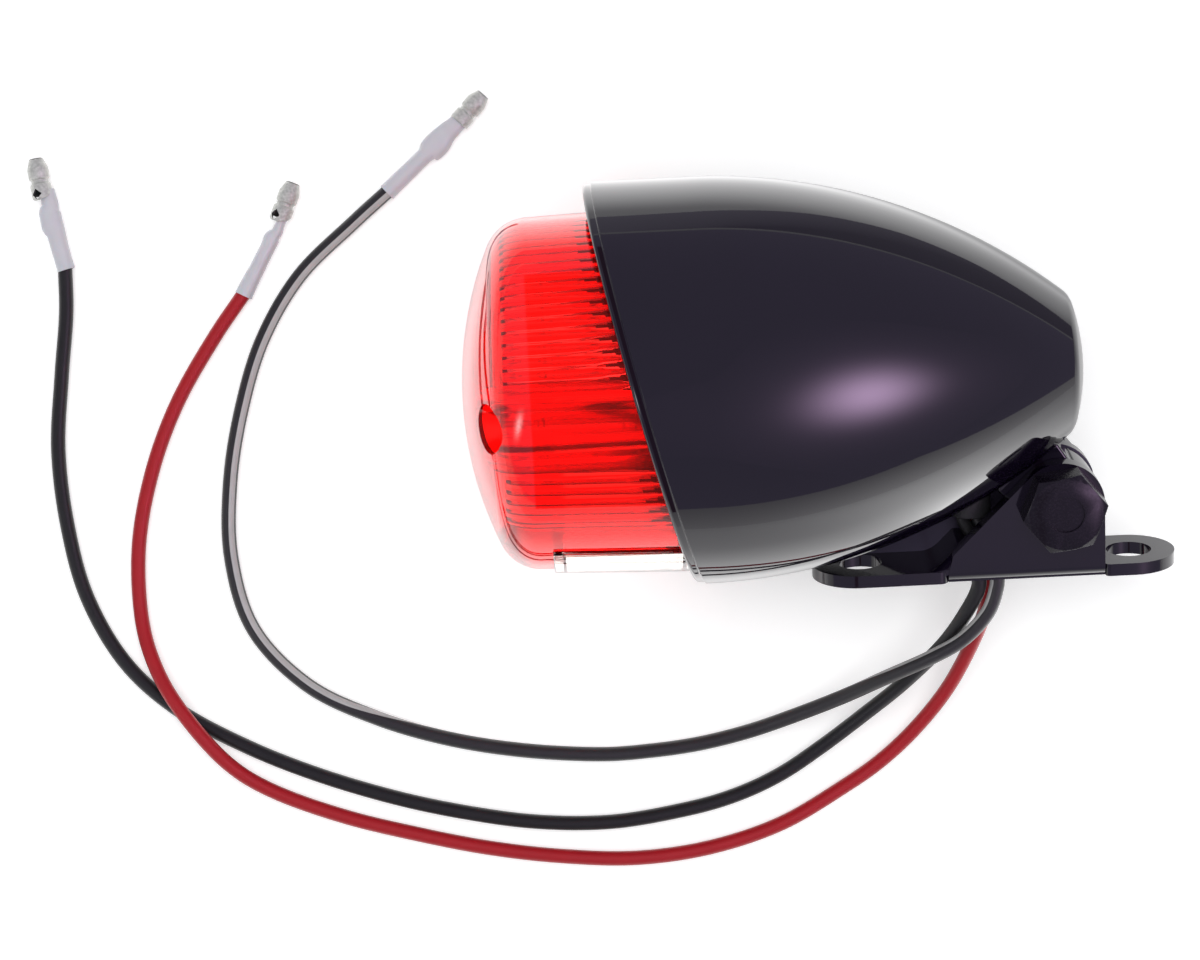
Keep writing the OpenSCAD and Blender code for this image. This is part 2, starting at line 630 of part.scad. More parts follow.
// The block that the cheeks are cut from, with its two bottom edges rounded
bottom_round = 2;
web_h = 3.6;
web_inset = 1.5;
lap = 1.5;
module rounded_block() rotate([90, 0, 90]) linear_extrude(far) {
    translate([foot_y + bottom_round, -cheek_out])
        square([40, 2 * cheek_out]);
    translate([foot_y, -cheek_out + bottom_round])
        square([10, 2 * (cheek_out - bottom_round)]);
    for (side = [-1, 1]) translate([foot_y + bottom_round, side * (cheek_out - bottom_round)])
        circle(bottom_round);
}
module foot_plan(y0, y1) translate([0, y1, 0]) rotate([90, 0, 0]) linear_extrude(y1 - y0)
    children();
module bracket() color("#15141a") lamp() difference() {
    union() {
        intersection() {
            union() {
                translate([0, 0, cheek_in]) linear_extrude(cheek_out - cheek_in) cheek_outline();
                translate([0, 0, -cheek_out]) linear_extrude(cheek_out - cheek_in) {
                    cheek_outline();
                    gusset_outline();
                }
                foot_plan(foot_y, foot_top_y) translate([channel_x1, -cheek_out])
                    square([cheek_rear_x - channel_x1, 2 * cheek_out]);
                translate([fillet_x, foot_y, -cheek_out])
                    cube([channel_x0 - fillet_x, web_h, 2 * cheek_out - web_inset]);
            }
            rounded_block();
        }
        foot_plan(foot_y, foot_top_y) {
            translate([front_hole_x, 0]) circle(foot_half);
            translate([front_hole_x, -foot_half])
                square([fillet_x + lap - front_hole_x, 2 * foot_half]);
            translate([rear_hole_x, 0]) circle(foot_half);
            translate([cheek_rear_x - lap, -foot_half])
                square([rear_hole_x - cheek_rear_x + lap, 2 * foot_half]);
        }
    }
    for (x = [front_hole_x, rear_hole_x]) translate([x, foot_top_y + 10, 0])
        rotate([90, 0, 0]) cylinder(d = foot_hole_d, h = 30);
    translate([hinge_x, hinge_y, -far / 2]) cylinder(d = bolt_d + 2 * gap, h = far);
}
module bracket_grommet() color("#262626") lamp() difference() {
    translate([channel_x0, foot_y - grommet_proud, -cheek_in])
        cube([channel_x1 - channel_x0, grommet_top_y - foot_y + grommet_proud, 2 * cheek_in]);
    for (b = bores) translate([b[0], grommet_top_y + 1, b[1]]) rotate([90, 0, 0])
        cylinder(r = wire_r + gap, h = 10);
}

// Hinge bolt, with its head on the side that faces up, its lock washer and nut
hex_r = bolt_af / 2 / cos(30);
hex_turn = 8.7;
hex_chamfer = 0.7;
dish_r = 3.2;
dish_depth = 0.4;
washer_r = 7;
washer_t = 2;
nut_h = 6.5;
shank_out = 1.6;
module chamfered_hex(h) intersection() {
    rotate([0, 0, hex_turn]) cylinder(r = hex_r, h = h, $fn = 6);
    rotate_extrude() polygon([[0, 0], [hex_r + 0.1, 0], [hex_r + 0.1, h - hex_chamfer],
                              [bolt_af / 2 - 0.1, h], [0, h]]);
}
module hinge_bolt() color("#1b1922") lamp() translate([hinge_x, hinge_y, 0]) {
    difference() {
        translate([0, 0, cheek_out]) chamfered_hex(bolt_head_h);
        translate([0, 0, cheek_out + bolt_head_h - dish_depth]) cylinder(r = dish_r, h = 1);
    }
    translate([0, 0, -cheek_out - washer_t - nut_h - shank_out])
        cylinder(d = bolt_d, h = 2 * cheek_out + washer_t + nut_h + shank_out + gap);
}
module hinge_nut() color("#1b1922") lamp()
    translate([hinge_x, hinge_y, -cheek_out - washer_t]) mirror([0, 0, 1]) difference() {
        chamfered_hex(nut_h);
        translate([0, 0, -1]) cylinder(d = bolt_d + 2 * gap, h = nut_h + 2);
    }
module spring_washer() color("#2a2a30") lamp()
    translate([hinge_x, hinge_y, -cheek_out - washer_t]) difference() {
        cylinder(r = washer_r, h = washer_t);
        translate([0, 0, -1]) cylinder(d = bolt_d + 2 * gap, h = washer_t + 2);
        rotate([0, 0, 40]) translate([0, -0.5, -1]) cube([20, 1, washer_t + 2]);
    }

// Free wires: each runs straight through the foot's grommet, then over the surface
function full_route(bore, points) = concat(
    [laid([bore[0], grommet_top_y, bore[1]]),
     laid([bore[0], foot_y - grommet_proud, bore[1]])], points);
black_route = full_route(bore_black, black_points);
striped_route = full_route(bore_striped, striped_points);
red_route = full_route(bore_red, red_points);
// Rings: the route's two ends inside the grommet, then even steps along the curve
function wire_curve(route) = concat([route[0]],
    [for (i = [0 : wire_rings - 2]) on_curve(route, 1 + (len(route) - 2) * i / (wire_rings - 2))]);
module wire(route) swept(wire_curve(route), even(wire_rings, wire_r), wire_sides);
echo(wire_black_mm = length_of(curve(black_route, 200)));
echo(wire_striped_mm = length_of(curve(striped_route, 200)));
echo(wire_red_mm = length_of(curve(red_route, 200)));
module wire_black() color("#2d2d2d") wire(black_route);
module wire_striped() color("#3c3c3c") wire(striped_route);
module wire_red() color("#a5232d") wire(red_route);

// Crimp sleeves: wide at the wire, flattened and broadened over the crimp, slim at the end
function way(heading) = [cos(heading), sin(heading), 0];
// The first ring lies in the plane of the wire's last ring
collar = 0.6;
plug_in = 0.7;
module sleeve(route, middle, foot, heading, bulge) {
    end = wire_curve(route);
    start = end[wire_rings - 1];
    along = collar * heading_at(end, wire_rings - 1);
    tip = foot + plug_in * way(heading);
    line = concat([start],
        curve(concat([start + along], middle, [tip - 1.2 * way(heading), tip]), sleeve_rings));
    r = sleeve_d / 2;
    swept(line, [[r, r], [r, r], [r, r], [r * bulge, r * 0.98], [r * bulge, r * 0.9],
                 [r * (bulge + 1) / 2, r * 0.9], [r * 0.8, r * 0.82], [1.3, 1.3], [1.3, 1.3]],
          sleeve_sides);
}
module sleeve_black() color("#dcd9ea", 0.9)
    sleeve(black_route, black_sleeve, black_foot, black_heading, 1.1);
module sleeve_striped() color("#dcd9ea", 0.9)
    sleeve(striped_route, striped_sleeve, striped_foot, striped_heading, 1.35);
module sleeve_red() color("#dcd9ea", 0.9)
    sleeve(red_route, red_sleeve, red_foot, red_heading, 1.1);

// Bullet terminals, turned to their wires' headings: a land, a waist, a land and a tapered tip
waist = [2.1, 2.4, 2.8, 3.1];
waist_r = 1.6;
tip_x = 5.1;
module terminal(foot, heading) translate(foot) rotate([0, 0, heading]) rotate([0, 90, 0])
    rotate_extrude($fn = 32) let (r = bullet_d / 2) polygon([
        [0, plug_in], [1.45, plug_in], [1.45, 0], [r - 0.1, 0], [r, 0.2], [r, waist[0]],
        [waist_r, waist[1]], [waist_r, waist[2]], [r, waist[3]], [r, tip_x],
        [r * 0.7, bullet_len - 0.2], [r * 0.6, bullet_len], [0, bullet_len]]);
module terminal_black() color("#c6c4bc") terminal(black_foot, black_heading);
module terminal_striped() color("#c6c4bc") terminal(striped_foot, striped_heading);
module terminal_red() color("#c6c4bc") terminal(red_foot, red_heading);

housing_shell();
lens();
plate_window();
lens_gasket();
reflector();
bulb_socket();
socket_rivets();
contact_carrier();
contact_pins();
contact_spring();
bulb_base();
bulb_glass();
bulb_stem();
bulb_filaments();
lens_screws();
housing_grommet();
inner_leads();
joint_leads();
bracket();
bracket_grommet();
hinge_bolt();
hinge_nut();
spring_washer();
wire_black();
wire_striped();
wire_red();
sleeve_black();
sleeve_striped();
sleeve_red();
terminal_black();
terminal_striped();
terminal_red();
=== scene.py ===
"""Looks of the bullet-shaped motorcycle tail light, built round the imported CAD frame.

Metres in the row frame. Most pieces are made in the lamp's own frame first, in millimetres:
x along the lamp's axis from its mouth, y away from its foot, z the side that faces up here.
"""
import math

import bmesh
import bpy
from mathutils import Matrix, Vector


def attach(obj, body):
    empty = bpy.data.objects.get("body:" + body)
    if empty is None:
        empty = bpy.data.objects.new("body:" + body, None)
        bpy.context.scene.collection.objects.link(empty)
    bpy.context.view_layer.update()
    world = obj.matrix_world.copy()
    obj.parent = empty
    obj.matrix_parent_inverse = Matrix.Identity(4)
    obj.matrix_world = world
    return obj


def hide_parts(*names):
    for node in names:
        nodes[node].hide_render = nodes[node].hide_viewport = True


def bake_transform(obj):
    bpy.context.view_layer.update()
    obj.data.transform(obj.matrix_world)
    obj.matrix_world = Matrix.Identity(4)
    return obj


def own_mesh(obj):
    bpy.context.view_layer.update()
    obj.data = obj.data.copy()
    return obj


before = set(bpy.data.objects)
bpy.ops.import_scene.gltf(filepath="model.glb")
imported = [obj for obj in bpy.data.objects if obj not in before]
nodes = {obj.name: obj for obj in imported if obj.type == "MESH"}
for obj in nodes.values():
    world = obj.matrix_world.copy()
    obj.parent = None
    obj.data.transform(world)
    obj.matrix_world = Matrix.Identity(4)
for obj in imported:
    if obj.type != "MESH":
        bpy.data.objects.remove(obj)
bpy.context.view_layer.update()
MM = 0.001
scene = bpy.context.scene
scene.view_settings.view_transform = "Standard"

# ---- Sizes of the part, in millimetres, as its source has them ----
ROLL = math.radians(17)
HOUSING_R, TAPER_X, TAPER_R, NOSE_R, NOSE_X, NOSE_BLEND = 35.7, 10, 102.5, 36, 77.5, 4
WALL, MOUTH_SLANT, STEP_DEPTH, STEP_WIDTH = 1.8, math.radians(13.6), 0.3, 1.6
LENS_TIP, LENS_R, LENS_TAPER, LENS_DROP = -31.2, 30.9, math.radians(1.9), 0.95
DOME_R, CORNER_R, FLUTES, FLUTE_DEPTH = 64.2, 8, 80, 0.7
LENS_WALL, LENS_BASE, LENS_FRONT, HOLLOW_CORNER = 2.4, 5.9, 1.5, 2.4
SCREW_Z, WELL_R, BOSS_R, SEAT_X = 24.5, 4.1, 7.2, 3
FLANGE_R, FLANGE_FRONT, FLANGE_BACK = 33.5, 1.2, 3.2
WINDOW_HALF, WINDOW_X, WINDOW_END = math.radians(44), -16.5, 8.4
WINDOW_SEAT, WINDOW_PLUG, WINDOW_LIP, WINDOW_PROUD = 30, 25.6, 2, 0.7
HINGE_X, HINGE_Y, LUG_R, LUG_HALF = 72.8, -23.7, 7.3, 4.4
FOOT_Y, REAR_HOLE, FOOT_HALF = -37.2, 85.7, 8.1
WIRE_R, BULLET_R, BULLET_LEN = 1.35, 2.0, 6.9

MID_X = (LENS_TIP + REAR_HOLE + FOOT_HALF) / 2
AXIS_Y = ((-FOOT_Y * math.cos(ROLL) + FOOT_HALF * math.sin(ROLL)) - HOUSING_R) / 2
TURN = Matrix.Rotation(ROLL, 4, "X")
LAMP = Matrix.Scale(MM, 4) @ Matrix.Translation((-MID_X, AXIS_Y, HOUSING_R)) @ TURN
ROW_MM = Matrix.Scale(MM, 4)


def laid(point):
    """A point of the lamp, in millimetres of the row frame."""
    return (LAMP @ Vector(point)) / MM


# ---- Camera: straight down from where the photograph was taken ----
FOCAL_PX, IMAGE_W, SENSOR = 3503, 1200, 36
camera = bpy.data.objects.new("camera", bpy.data.cameras.new("camera"))
scene.collection.objects.link(camera)
scene.camera = camera
camera.data.sensor_width = SENSOR
camera.data.lens = FOCAL_PX / IMAGE_W * SENSOR
camera.location = (-0.0391, -0.0155, 0.650)
camera.rotation_euler = (0, 0, math.radians(-2.8))


# ---- Materials ----
def linear(red, green, blue):
    """A colour given as screen values from 0 to 255, as the light that it stands for."""
    def one(v):
        v /= 255
        return v / 12.92 if v <= 0.04045 else ((v + 0.055) / 1.055) ** 2.4
    return (one(red), one(green), one(blue), 1)


def principled(name):
    mat = bpy.data.materials.new(name)
    mat.use_nodes = True
    return mat, mat.node_tree, mat.node_tree.nodes["Principled BSDF"]


def noise(tree, per_mm, detail=3.0, stretch=(1, 1, 1)):
    """Noise in the piece's own place, with features about 1 / per_mm millimetres across."""
    where = tree.nodes.new("ShaderNodeTexCoord")
    scale = tree.nodes.new("ShaderNodeMapping")
    scale.inputs["Scale"].default_value = [s * per_mm / MM for s in stretch]
    made = tree.nodes.new("ShaderNodeTexNoise")
    made.inputs["Scale"].default_value = 1
    made.inputs["Detail"].default_value = detail
    tree.links.new(where.outputs["Object"], scale.inputs["Vector"])
    tree.links.new(scale.outputs["Vector"], made.inputs["Vector"])
    return made.outputs["Fac"]


def spread(tree, value, low, high, start=0.3, end=0.7):
    """The value's middle range, start to end, laid over low to high."""
    node = tree.nodes.new("ShaderNodeMapRange")
    for name, number in zip(("From Min", "From Max", "To Min", "To Max"), (start, end, low, high)):
        node.inputs[name].default_value = number
    tree.links.new(value, node.inputs["Value"])
    return node.outputs["Result"]


def mixed(tree, value, first, second):
    node = tree.nodes.new("ShaderNodeMix")
    node.data_type = "RGBA"
    for socket, colour in (("A", first), ("B", second)):
        if isinstance(colour, bpy.types.NodeSocket):
            tree.links.new(colour, node.inputs[6 if socket == "A" else 7])
        else:
            node.inputs[6 if socket == "A" else 7].default_value = colour
    tree.links.new(value, node.inputs["Factor"])
    return node.outputs[2]


def bumped(tree, bsdf, height, depth_mm, strength=1.0):
    bump = tree.nodes.new("ShaderNodeBump")
    bump.inputs["Distance"].default_value = depth_mm * MM
    bump.inputs["Strength"].default_value = strength
    tree.links.new(height, bump.inputs["Height"])
    tree.links.new(bump.outputs["Normal"], bsdf.inputs["Normal"])


def shade(colour, by):
    return tuple(min(1, c * by) for c in colour[:3]) + (1,)


def surface(name, colour, rough, vary=0.12, rough_vary=0.05, patch=0.25, grain=3.0,
            bump=0.01, stretch=(1, 1, 1), **inputs):
    """An opaque finish: patches of slightly different colour and gloss, and a fine grain."""
    mat, tree, bsdf = principled(name)
    patches = noise(tree, patch, 4, stretch)
    blend = mixed(tree, patches, shade(colour, 1 - vary), shade(colour, 1 + vary))
    tree.links.new(blend, bsdf.inputs["Base Color"])
    fine = noise(tree, grain, 2, stretch)
    tree.links.new(spread(tree, fine, rough - rough_vary, rough + rough_vary),
                   bsdf.inputs["Roughness"])
    bumped(tree, bsdf, fine, bump)
    for socket, number in inputs.items():
        bsdf.inputs[socket.replace("_", " ")].default_value = number
    return mat


PAINT = (0.0045, 0.0025, 0.0085, 1)
housing_paint = surface("housing_paint", PAINT, 0.035, 0.2, 0.012, 0.05, 0.9, 0.0006, IOR=1.5)
bracket_paint = surface("bracket_paint", PAINT, 0.09, 0.2, 0.03, 0.15, 1.6, 0.002, IOR=1.5)
# Lighter violet for the far cheek's inner face: a painted reflection of the violet sky that this
# face mirrors
far_cheek_painted_reflection = surface("far_cheek_painted_reflection", (0.045, 0.038, 0.064, 1), 0.12, 0.1, 0.03, 0.15, 1.6, 0.002,
                      IOR=1.5)
bolt_paint = surface("bolt_paint", (0.007, 0.005, 0.01, 1), 0.26, 0.3, 0.07, 0.5, 2.2, 0.006,
                     IOR=1.3)
rubber = surface("rubber", (0.012, 0.012, 0.013, 1), 0.62, 0.2, 0.08, 0.4, 5, 0.012)
bright_sheet = surface("bright_sheet", (0.9, 0.9, 0.9, 1), 0.42, 0.04, 0.05, 0.1, 3, 0.002,
                       Metallic=1.0)
plated = surface("plated_steel", (0.62, 0.6, 0.55, 1), 0.3, 0.1, 0.08, 0.3, 4, 0.004,
                 Metallic=1.0)
zinc = surface("zinc_steel", (0.6, 0.6, 0.62, 1), 0.28, 0.1, 0.08, 0.5, 5, 0.004, Metallic=1.0)
laminate = surface("brown_laminate", (0.13, 0.055, 0.025, 1), 0.5, 0.25, 0.06, 0.6, 3, 0.01)
brass = surface("brass", (0.72, 0.5, 0.2, 1), 0.26, 0.12, 0.08, 0.4, 4, 0.004, Metallic=1.0)
tungsten = surface("tungsten", (0.3, 0.3, 0.31, 1), 0.4, 0.1, 0.06, 1, 6, 0.004, Metallic=1.0)
pvc_black = surface("pvc_black", (0.009, 0.009, 0.0095, 1), 0.47, 0.15, 0.06, 0.3, 4, 0.008,
                    IOR=1.38)
pvc_red = surface("pvc_red", linear(160, 18, 28), 0.46, 0.08, 0.06, 0.3, 4, 0.008, IOR=1.38)


def clear(name, colour, rough, ior=1.49, tint=None, density=0.0, through=1.0):
    """A clear moulding. tint and density give what its thickness takes out of the light."""
    mat, tree, bsdf = principled(name)
    bsdf.inputs["Base Color"].default_value = colour
    bsdf.inputs["Roughness"].default_value = rough
    bsdf.inputs["IOR"].default_value = ior
    bsdf.inputs["Transmission Weight"].default_value = through
    bumped(tree, bsdf, noise(tree, 0.12, 2), 0.004, 0.3)
    if tint:
        volume = tree.nodes.new("ShaderNodeVolumeAbsorption")
        volume.inputs["Color"].default_value = tint
        volume.inputs["Density"].default_value = density
        out = next(n for n in tree.nodes if n.type == "OUTPUT_MATERIAL")
        tree.links.new(volume.outputs["Volume"], out.inputs["Volume"])
    return mat


lens_red = clear("lens_red", (1, 0.05, 0.04, 1), 0.0, tint=(1, 0.05, 0.04, 1), density=220,
                 through=0.93)
# The hollow's face is a little matt, and the flats between the ends of its ribs are painted dark
# red: painted shade for the dark inner reflections there
LENS_MATT = 0.16
tree = lens_red.node_tree
inside = tree.nodes.new("ShaderNodeAttribute")
inside.attribute_name = "inside"
tree.links.new(spread(tree, inside.outputs["Fac"], 0, LENS_MATT, 0, 1),
               tree.nodes["Principled BSDF"].inputs["Roughness"])
lens_painted_shade = surface("lens_painted_shade", linear(84, 0, 6), 0.5)
window_clear = clear("window_clear", (0.95, 0.91, 0.85, 1), 0.02)
bulb_clear = clear("bulb_clear", (0.98, 0.985, 0.99, 1), 0.0, 1.5)


def striped_finish():
    """Black insulation with one grey stripe, placed by the tube's own turn and length."""
    mat, tree, bsdf = principled("pvc_striped")
    uv = tree.nodes.new("ShaderNodeUVMap")
    split = tree.nodes.new("ShaderNodeSeparateXYZ")
    tree.links.new(uv.outputs["UV"], split.inputs["Vector"])
    off = tree.nodes.new("ShaderNodeMath")
    off.operation = "SUBTRACT"
    off.inputs[1].default_value = 0.5
    tree.links.new(split.outputs["X"], off.inputs[0])
    far = tree.nodes.new("ShaderNodeMath")
    far.operation = "ABSOLUTE"
    tree.links.new(off.outputs[0], far.inputs[0])
    half = STRIPE_TURN / 2
    edge = spread(tree, far.outputs[0], 1, 0, half - 0.006, half + 0.006)
    patches = noise(tree, 0.3, 4)
    black = mixed(tree, patches, (0.011, 0.011, 0.0115, 1), (0.0145, 0.0145, 0.015, 1))
    grey = mixed(tree, patches, linear(158, 158, 158), linear(180, 180, 180))
    tree.links.new(mixed(tree, edge, black, grey), bsdf.inputs["Base Color"])
    fine = noise(tree, 4, 2)
    tree.links.new(spread(tree, fine, 0.44, 0.56), bsdf.inputs["Roughness"])
    bumped(tree, bsdf, fine, 0.008)
    return mat


STRIPE_TURN = 0.14
pvc_striped = striped_finish()
sleeve_milky = surface("sleeve_milky", linear(196, 195, 203), 0.4, 0.05, 0.08, 0.35, 2.5, 0.02,
                       Subsurface_Weight=0.25, Subsurface_Scale=0.0012)
sleeve_painted_highlight = surface("sleeve_painted_highlight", (0.86, 0.86, 0.86, 1), 0.4, 0.03, 0.05, 0.35, 2.5, 0.01)
tin = surface("tin", (0.47, 0.475, 0.45, 1), 0.46, 0.5, 0.12, 1.8, 5, 0.06, Metallic=0.3)
bore_painted_shade = surface("bore_painted_shade", (0.01, 0.01, 0.01, 1), 0.7, 0.2, 0.05, 1, 4, 0.01)


# ---- Making meshes ----
def made(name, points, faces, material):
    """A new object, still in the units and frame that its points are in."""
    mesh = bpy.data.meshes.new(name)
    mesh.from_pydata([tuple(p) for p in points], [], faces)
    form = bmesh.new()
    form.from_mesh(mesh)
    bmesh.ops.recalc_face_normals(form, faces=form.faces)
    form.to_mesh(mesh)
    form.free()
    mesh.materials.append(material)
    obj = bpy.data.objects.new(name, mesh)
    scene.collection.objects.link(obj)
    return obj


def apply_modifiers(obj):
    depsgraph = bpy.context.evaluated_depsgraph_get()
    mesh = bpy.data.meshes.new_from_object(obj.evaluated_get(depsgraph))
    obj.modifiers.clear()
    old, obj.data = obj.data, mesh
    name = old.name
    bpy.data.meshes.remove(old)
    mesh.name = name
    return obj


def boolean(obj, tool, operation="DIFFERENCE"):
    change = obj.modifiers.new("change", "BOOLEAN")
    change.object, change.operation, change.solver = tool, operation, "EXACT"
    apply_modifiers(obj)
    bpy.data.objects.remove(tool)
    return obj


def smooth(obj, angle=32):
    obj.data.shade_smooth()
    obj.data.set_sharp_from_angle(angle=math.radians(angle))
    return obj


def bevel(obj, width, segments=3, angle=30):
    change = obj.modifiers.new("edges", "BEVEL")
    change.width, change.segments, change.limit_method = width, segments, "ANGLE"
    change.angle_limit = math.radians(angle)
    change.use_clamp_overlap = True
    change.harden_normals = True
    obj.data.shade_smooth()
    return apply_modifiers(obj)


def place(obj, matrix=LAMP, normal=None):
    """Carries the mesh to its place. normal(point) gives a corner's exact normal, or None."""
    fixed = None
    if normal:
        mesh = obj.data
        turn = matrix.to_3x3().normalized()
        fixed = []
        for face in mesh.polygons:
            for loop in face.loop_indices:
                n = normal(mesh.vertices[mesh.loops[loop].vertex_index].co, face.normal)
                fixed.append(turn @ n if n else Vector((0, 0, 0)))
    obj.data.transform(matrix)
    if fixed:
        obj.data.normals_split_custom_set([tuple(n) for n in fixed])
    return obj


def rides(obj, body, slot, *replaced):
    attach(obj, body)
    if replaced:
        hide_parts(*replaced)
    return obj


def arc(centre, radius, start, end, count, first=0):
    """Points of an arc, with angles from the first axis towards the second."""
    return [(centre[0] + radius * math.cos(a), centre[1] + radius * math.sin(a))
            for a in (start + (end - start) * i / count for i in range(first, count + 1))]


def revolve(name, profile, steps, material, loop=False):
    """A body of rings about x. Each ring is (x, radius), or gives that for its angle, and
    may add how far its centre is moved along y."""
    points, rings, faces = [], [], []
    for spec in profile:
        if not callable(spec) and spec[1] == 0:
            rings.append([len(points)])
            points.append((spec[0], spec[2] if len(spec) > 2 else 0, 0))
            continue
        rings.append(range(len(points), len(points) + steps))
        for k in range(steps):
            t = 2 * math.pi * k / steps
            x, r, *off = spec(t) if callable(spec) else spec
            points.append((x, r * math.cos(t) + (off[0] if off else 0), r * math.sin(t)))
    for a, b in list(zip(rings, rings[1:])) + ([(rings[-1], rings[0])] if loop else []):
        if len(a) == len(b) == 1:
            continue
        for k in range(steps):
            n = (k + 1) % steps
            if len(a) == 1:
                faces.append((a[0], b[k], b[n]))
            elif len(b) == 1:
                faces.append((a[k], b[0], a[n]))
            else:
                faces.append((a[k], b[k], b[n], a[n]))
    return made(name, points, faces, material)


def prism(name, outline, z0, z1, material):
    n = len(outline)
    points = [(x, y, z) for z in (z0, z1) for x, y in outline]
    faces = [tuple(range(n)), tuple(range(n, 2 * n))]
    faces += [(k, (k + 1) % n, n + (k + 1) % n, n + k) for k in range(n)]
    return made(name, points, faces, material)


def turned(obj, rows):
    """Lay a prism another way round and keep its faces outward."""
    mesh = bmesh.new()
    mesh.from_mesh(obj.data)
    mesh.transform(Matrix(rows))
    bmesh.ops.recalc_face_normals(mesh, faces=mesh.faces)
    mesh.to_mesh(obj.data)
    mesh.free()


def rod(name, radius, start, end, steps, material):
    start, end = Vector(start), Vector(end)
    run = end - start
    obj = revolve(name, [(0, 0), (0, radius), (run.length, radius), (run.length, 0)], steps,
                  material)
    turn = run.to_track_quat("X", "Z").to_matrix().to_4x4()
    obj.data.transform(Matrix.Translation(start) @ turn)
    return obj


def sector(name, half, x0, x1, inner, outer, material, steps=48):
    """A wedge of a tube about the lens's axis, on the foot's side. outer is its radius at
    each end."""
    points, faces = [], []
    for k in range(steps + 1):
        a = -half + 2 * half * k / steps
        for x, r in ((x0, inner), (x0, outer[0]), (x1, outer[1]), (x1, inner)):
            points.append((x, -r * math.cos(a) - LENS_DROP, r * math.sin(a)))
    for k in range(steps):
        for i in range(4):
            a, b = 4 * k + i, 4 * k + (i + 1) % 4
            faces.append((a, b, b + 4, a + 4))
    faces += [(0, 1, 2, 3), tuple(4 * steps + i for i in range(4))]
    return made(name, points, faces, material)


def edged(name, node, width, material, body, slot, segments=3, angle=30):
    """A CAD node's own mesh with its edges rounded."""
    source = nodes[node].data
    form = bmesh.new()
    form.from_mesh(source)
    bmesh.ops.remove_doubles(form, verts=form.verts, dist=0.002 * MM)
    bmesh.ops.dissolve_limit(form, angle_limit=math.radians(0.8), verts=form.verts,
                             edges=form.edges)
    bmesh.ops.scale(form, vec=(1 / MM,) * 3, verts=form.verts)
    index = {v: i for i, v in enumerate(form.verts)}
    points = [v.co.copy() for v in form.verts]
    faces = [tuple(index[v] for v in f.verts) for f in form.faces]
    form.free()
    obj = made(name, points, faces, material)
    bevel(obj, width, segments, angle)
    place(obj, ROW_MM)
    return rides(obj, body, slot, node)


# ---- Wires ----
def on_curve(p, u):
    """A smooth curve through the points, at u from 0 to the last point's number."""
    i = min(int(u), len(p) - 2)
    t = u - i
    b, c = p[i], p[i + 1]
    a = p[i - 1] if i else 2 * b - c
    d = p[i + 2] if i + 2 < len(p) else 2 * c - b
    return 0.5 * (2 * b + (c - a) * t + (2 * a - 5 * b + 4 * c - d) * t * t
                  + (3 * b - a - 3 * c + d) * t ** 3)


def curve(p, count):
    return [on_curve(p, (len(p) - 1) * i / (count - 1)) for i in range(count)]


def tube(name, path, size, sides, material, turn=lambda share: 0.0, up=Vector((0, 0, 1))):
    """A tube along the path. size(share) is its half width and half height along the way,
    and turn(share) swings the middle of its UV map from the top towards its right side."""
    count = len(path)
    points, faces, share = [], [], [0.0]
    for a, b in zip(path, path[1:]):
        share.append(share[-1] + (b - a).length)
    total = share[-1]
    for i, p in enumerate(path):
        along = (path[min(i + 1, count - 1)] - path[max(i - 1, 0)]).normalized()
        side = along.cross(up).normalized()
        high = side.cross(along)
        f = share[i] / total
        width, height = size(f)
        for k in range(sides):
            a = 2 * math.pi * (k / sides - 0.5) + turn(f)
            points.append(p + side * (width * math.sin(a)) + high * (height * math.cos(a)))
    for i in range(count - 1):
        for k in range(sides):
            a, b = i * sides + k, i * sides + (k + 1) % sides
            faces.append((a, b, b + sides, a + sides))
    faces += [tuple(range(sides)), tuple((count - 1) * sides + k for k in range(sides))]
    obj = made(name, points, faces, material)
    uv = obj.data.uv_layers.new(name="UVMap")
    for face in obj.data.polygons:
        columns = [obj.data.loops[loop].vertex_index % sides for loop in face.loop_indices]
        wraps = max(columns) - min(columns) > 1 and len(columns) == 4
        for loop, column in zip(face.loop_indices, columns):
            ring = obj.data.loops[loop].vertex_index // sides
            u = column / sides + (1 if wraps and column == 0 else 0)
            uv.data[loop].uv = (u, share[ring])
    return smooth(obj, 50)


def eased(knots):
    """A smooth function through (share, value) knots."""
    def at(share):
        for (a, va), (b, vb) in zip(knots, knots[1:]):
            if share <= b:
                t = max(0, share - a) / (b - a)
                return va + (vb - va) * t * t * (3 - 2 * t)
        return knots[-1][1]
    return at


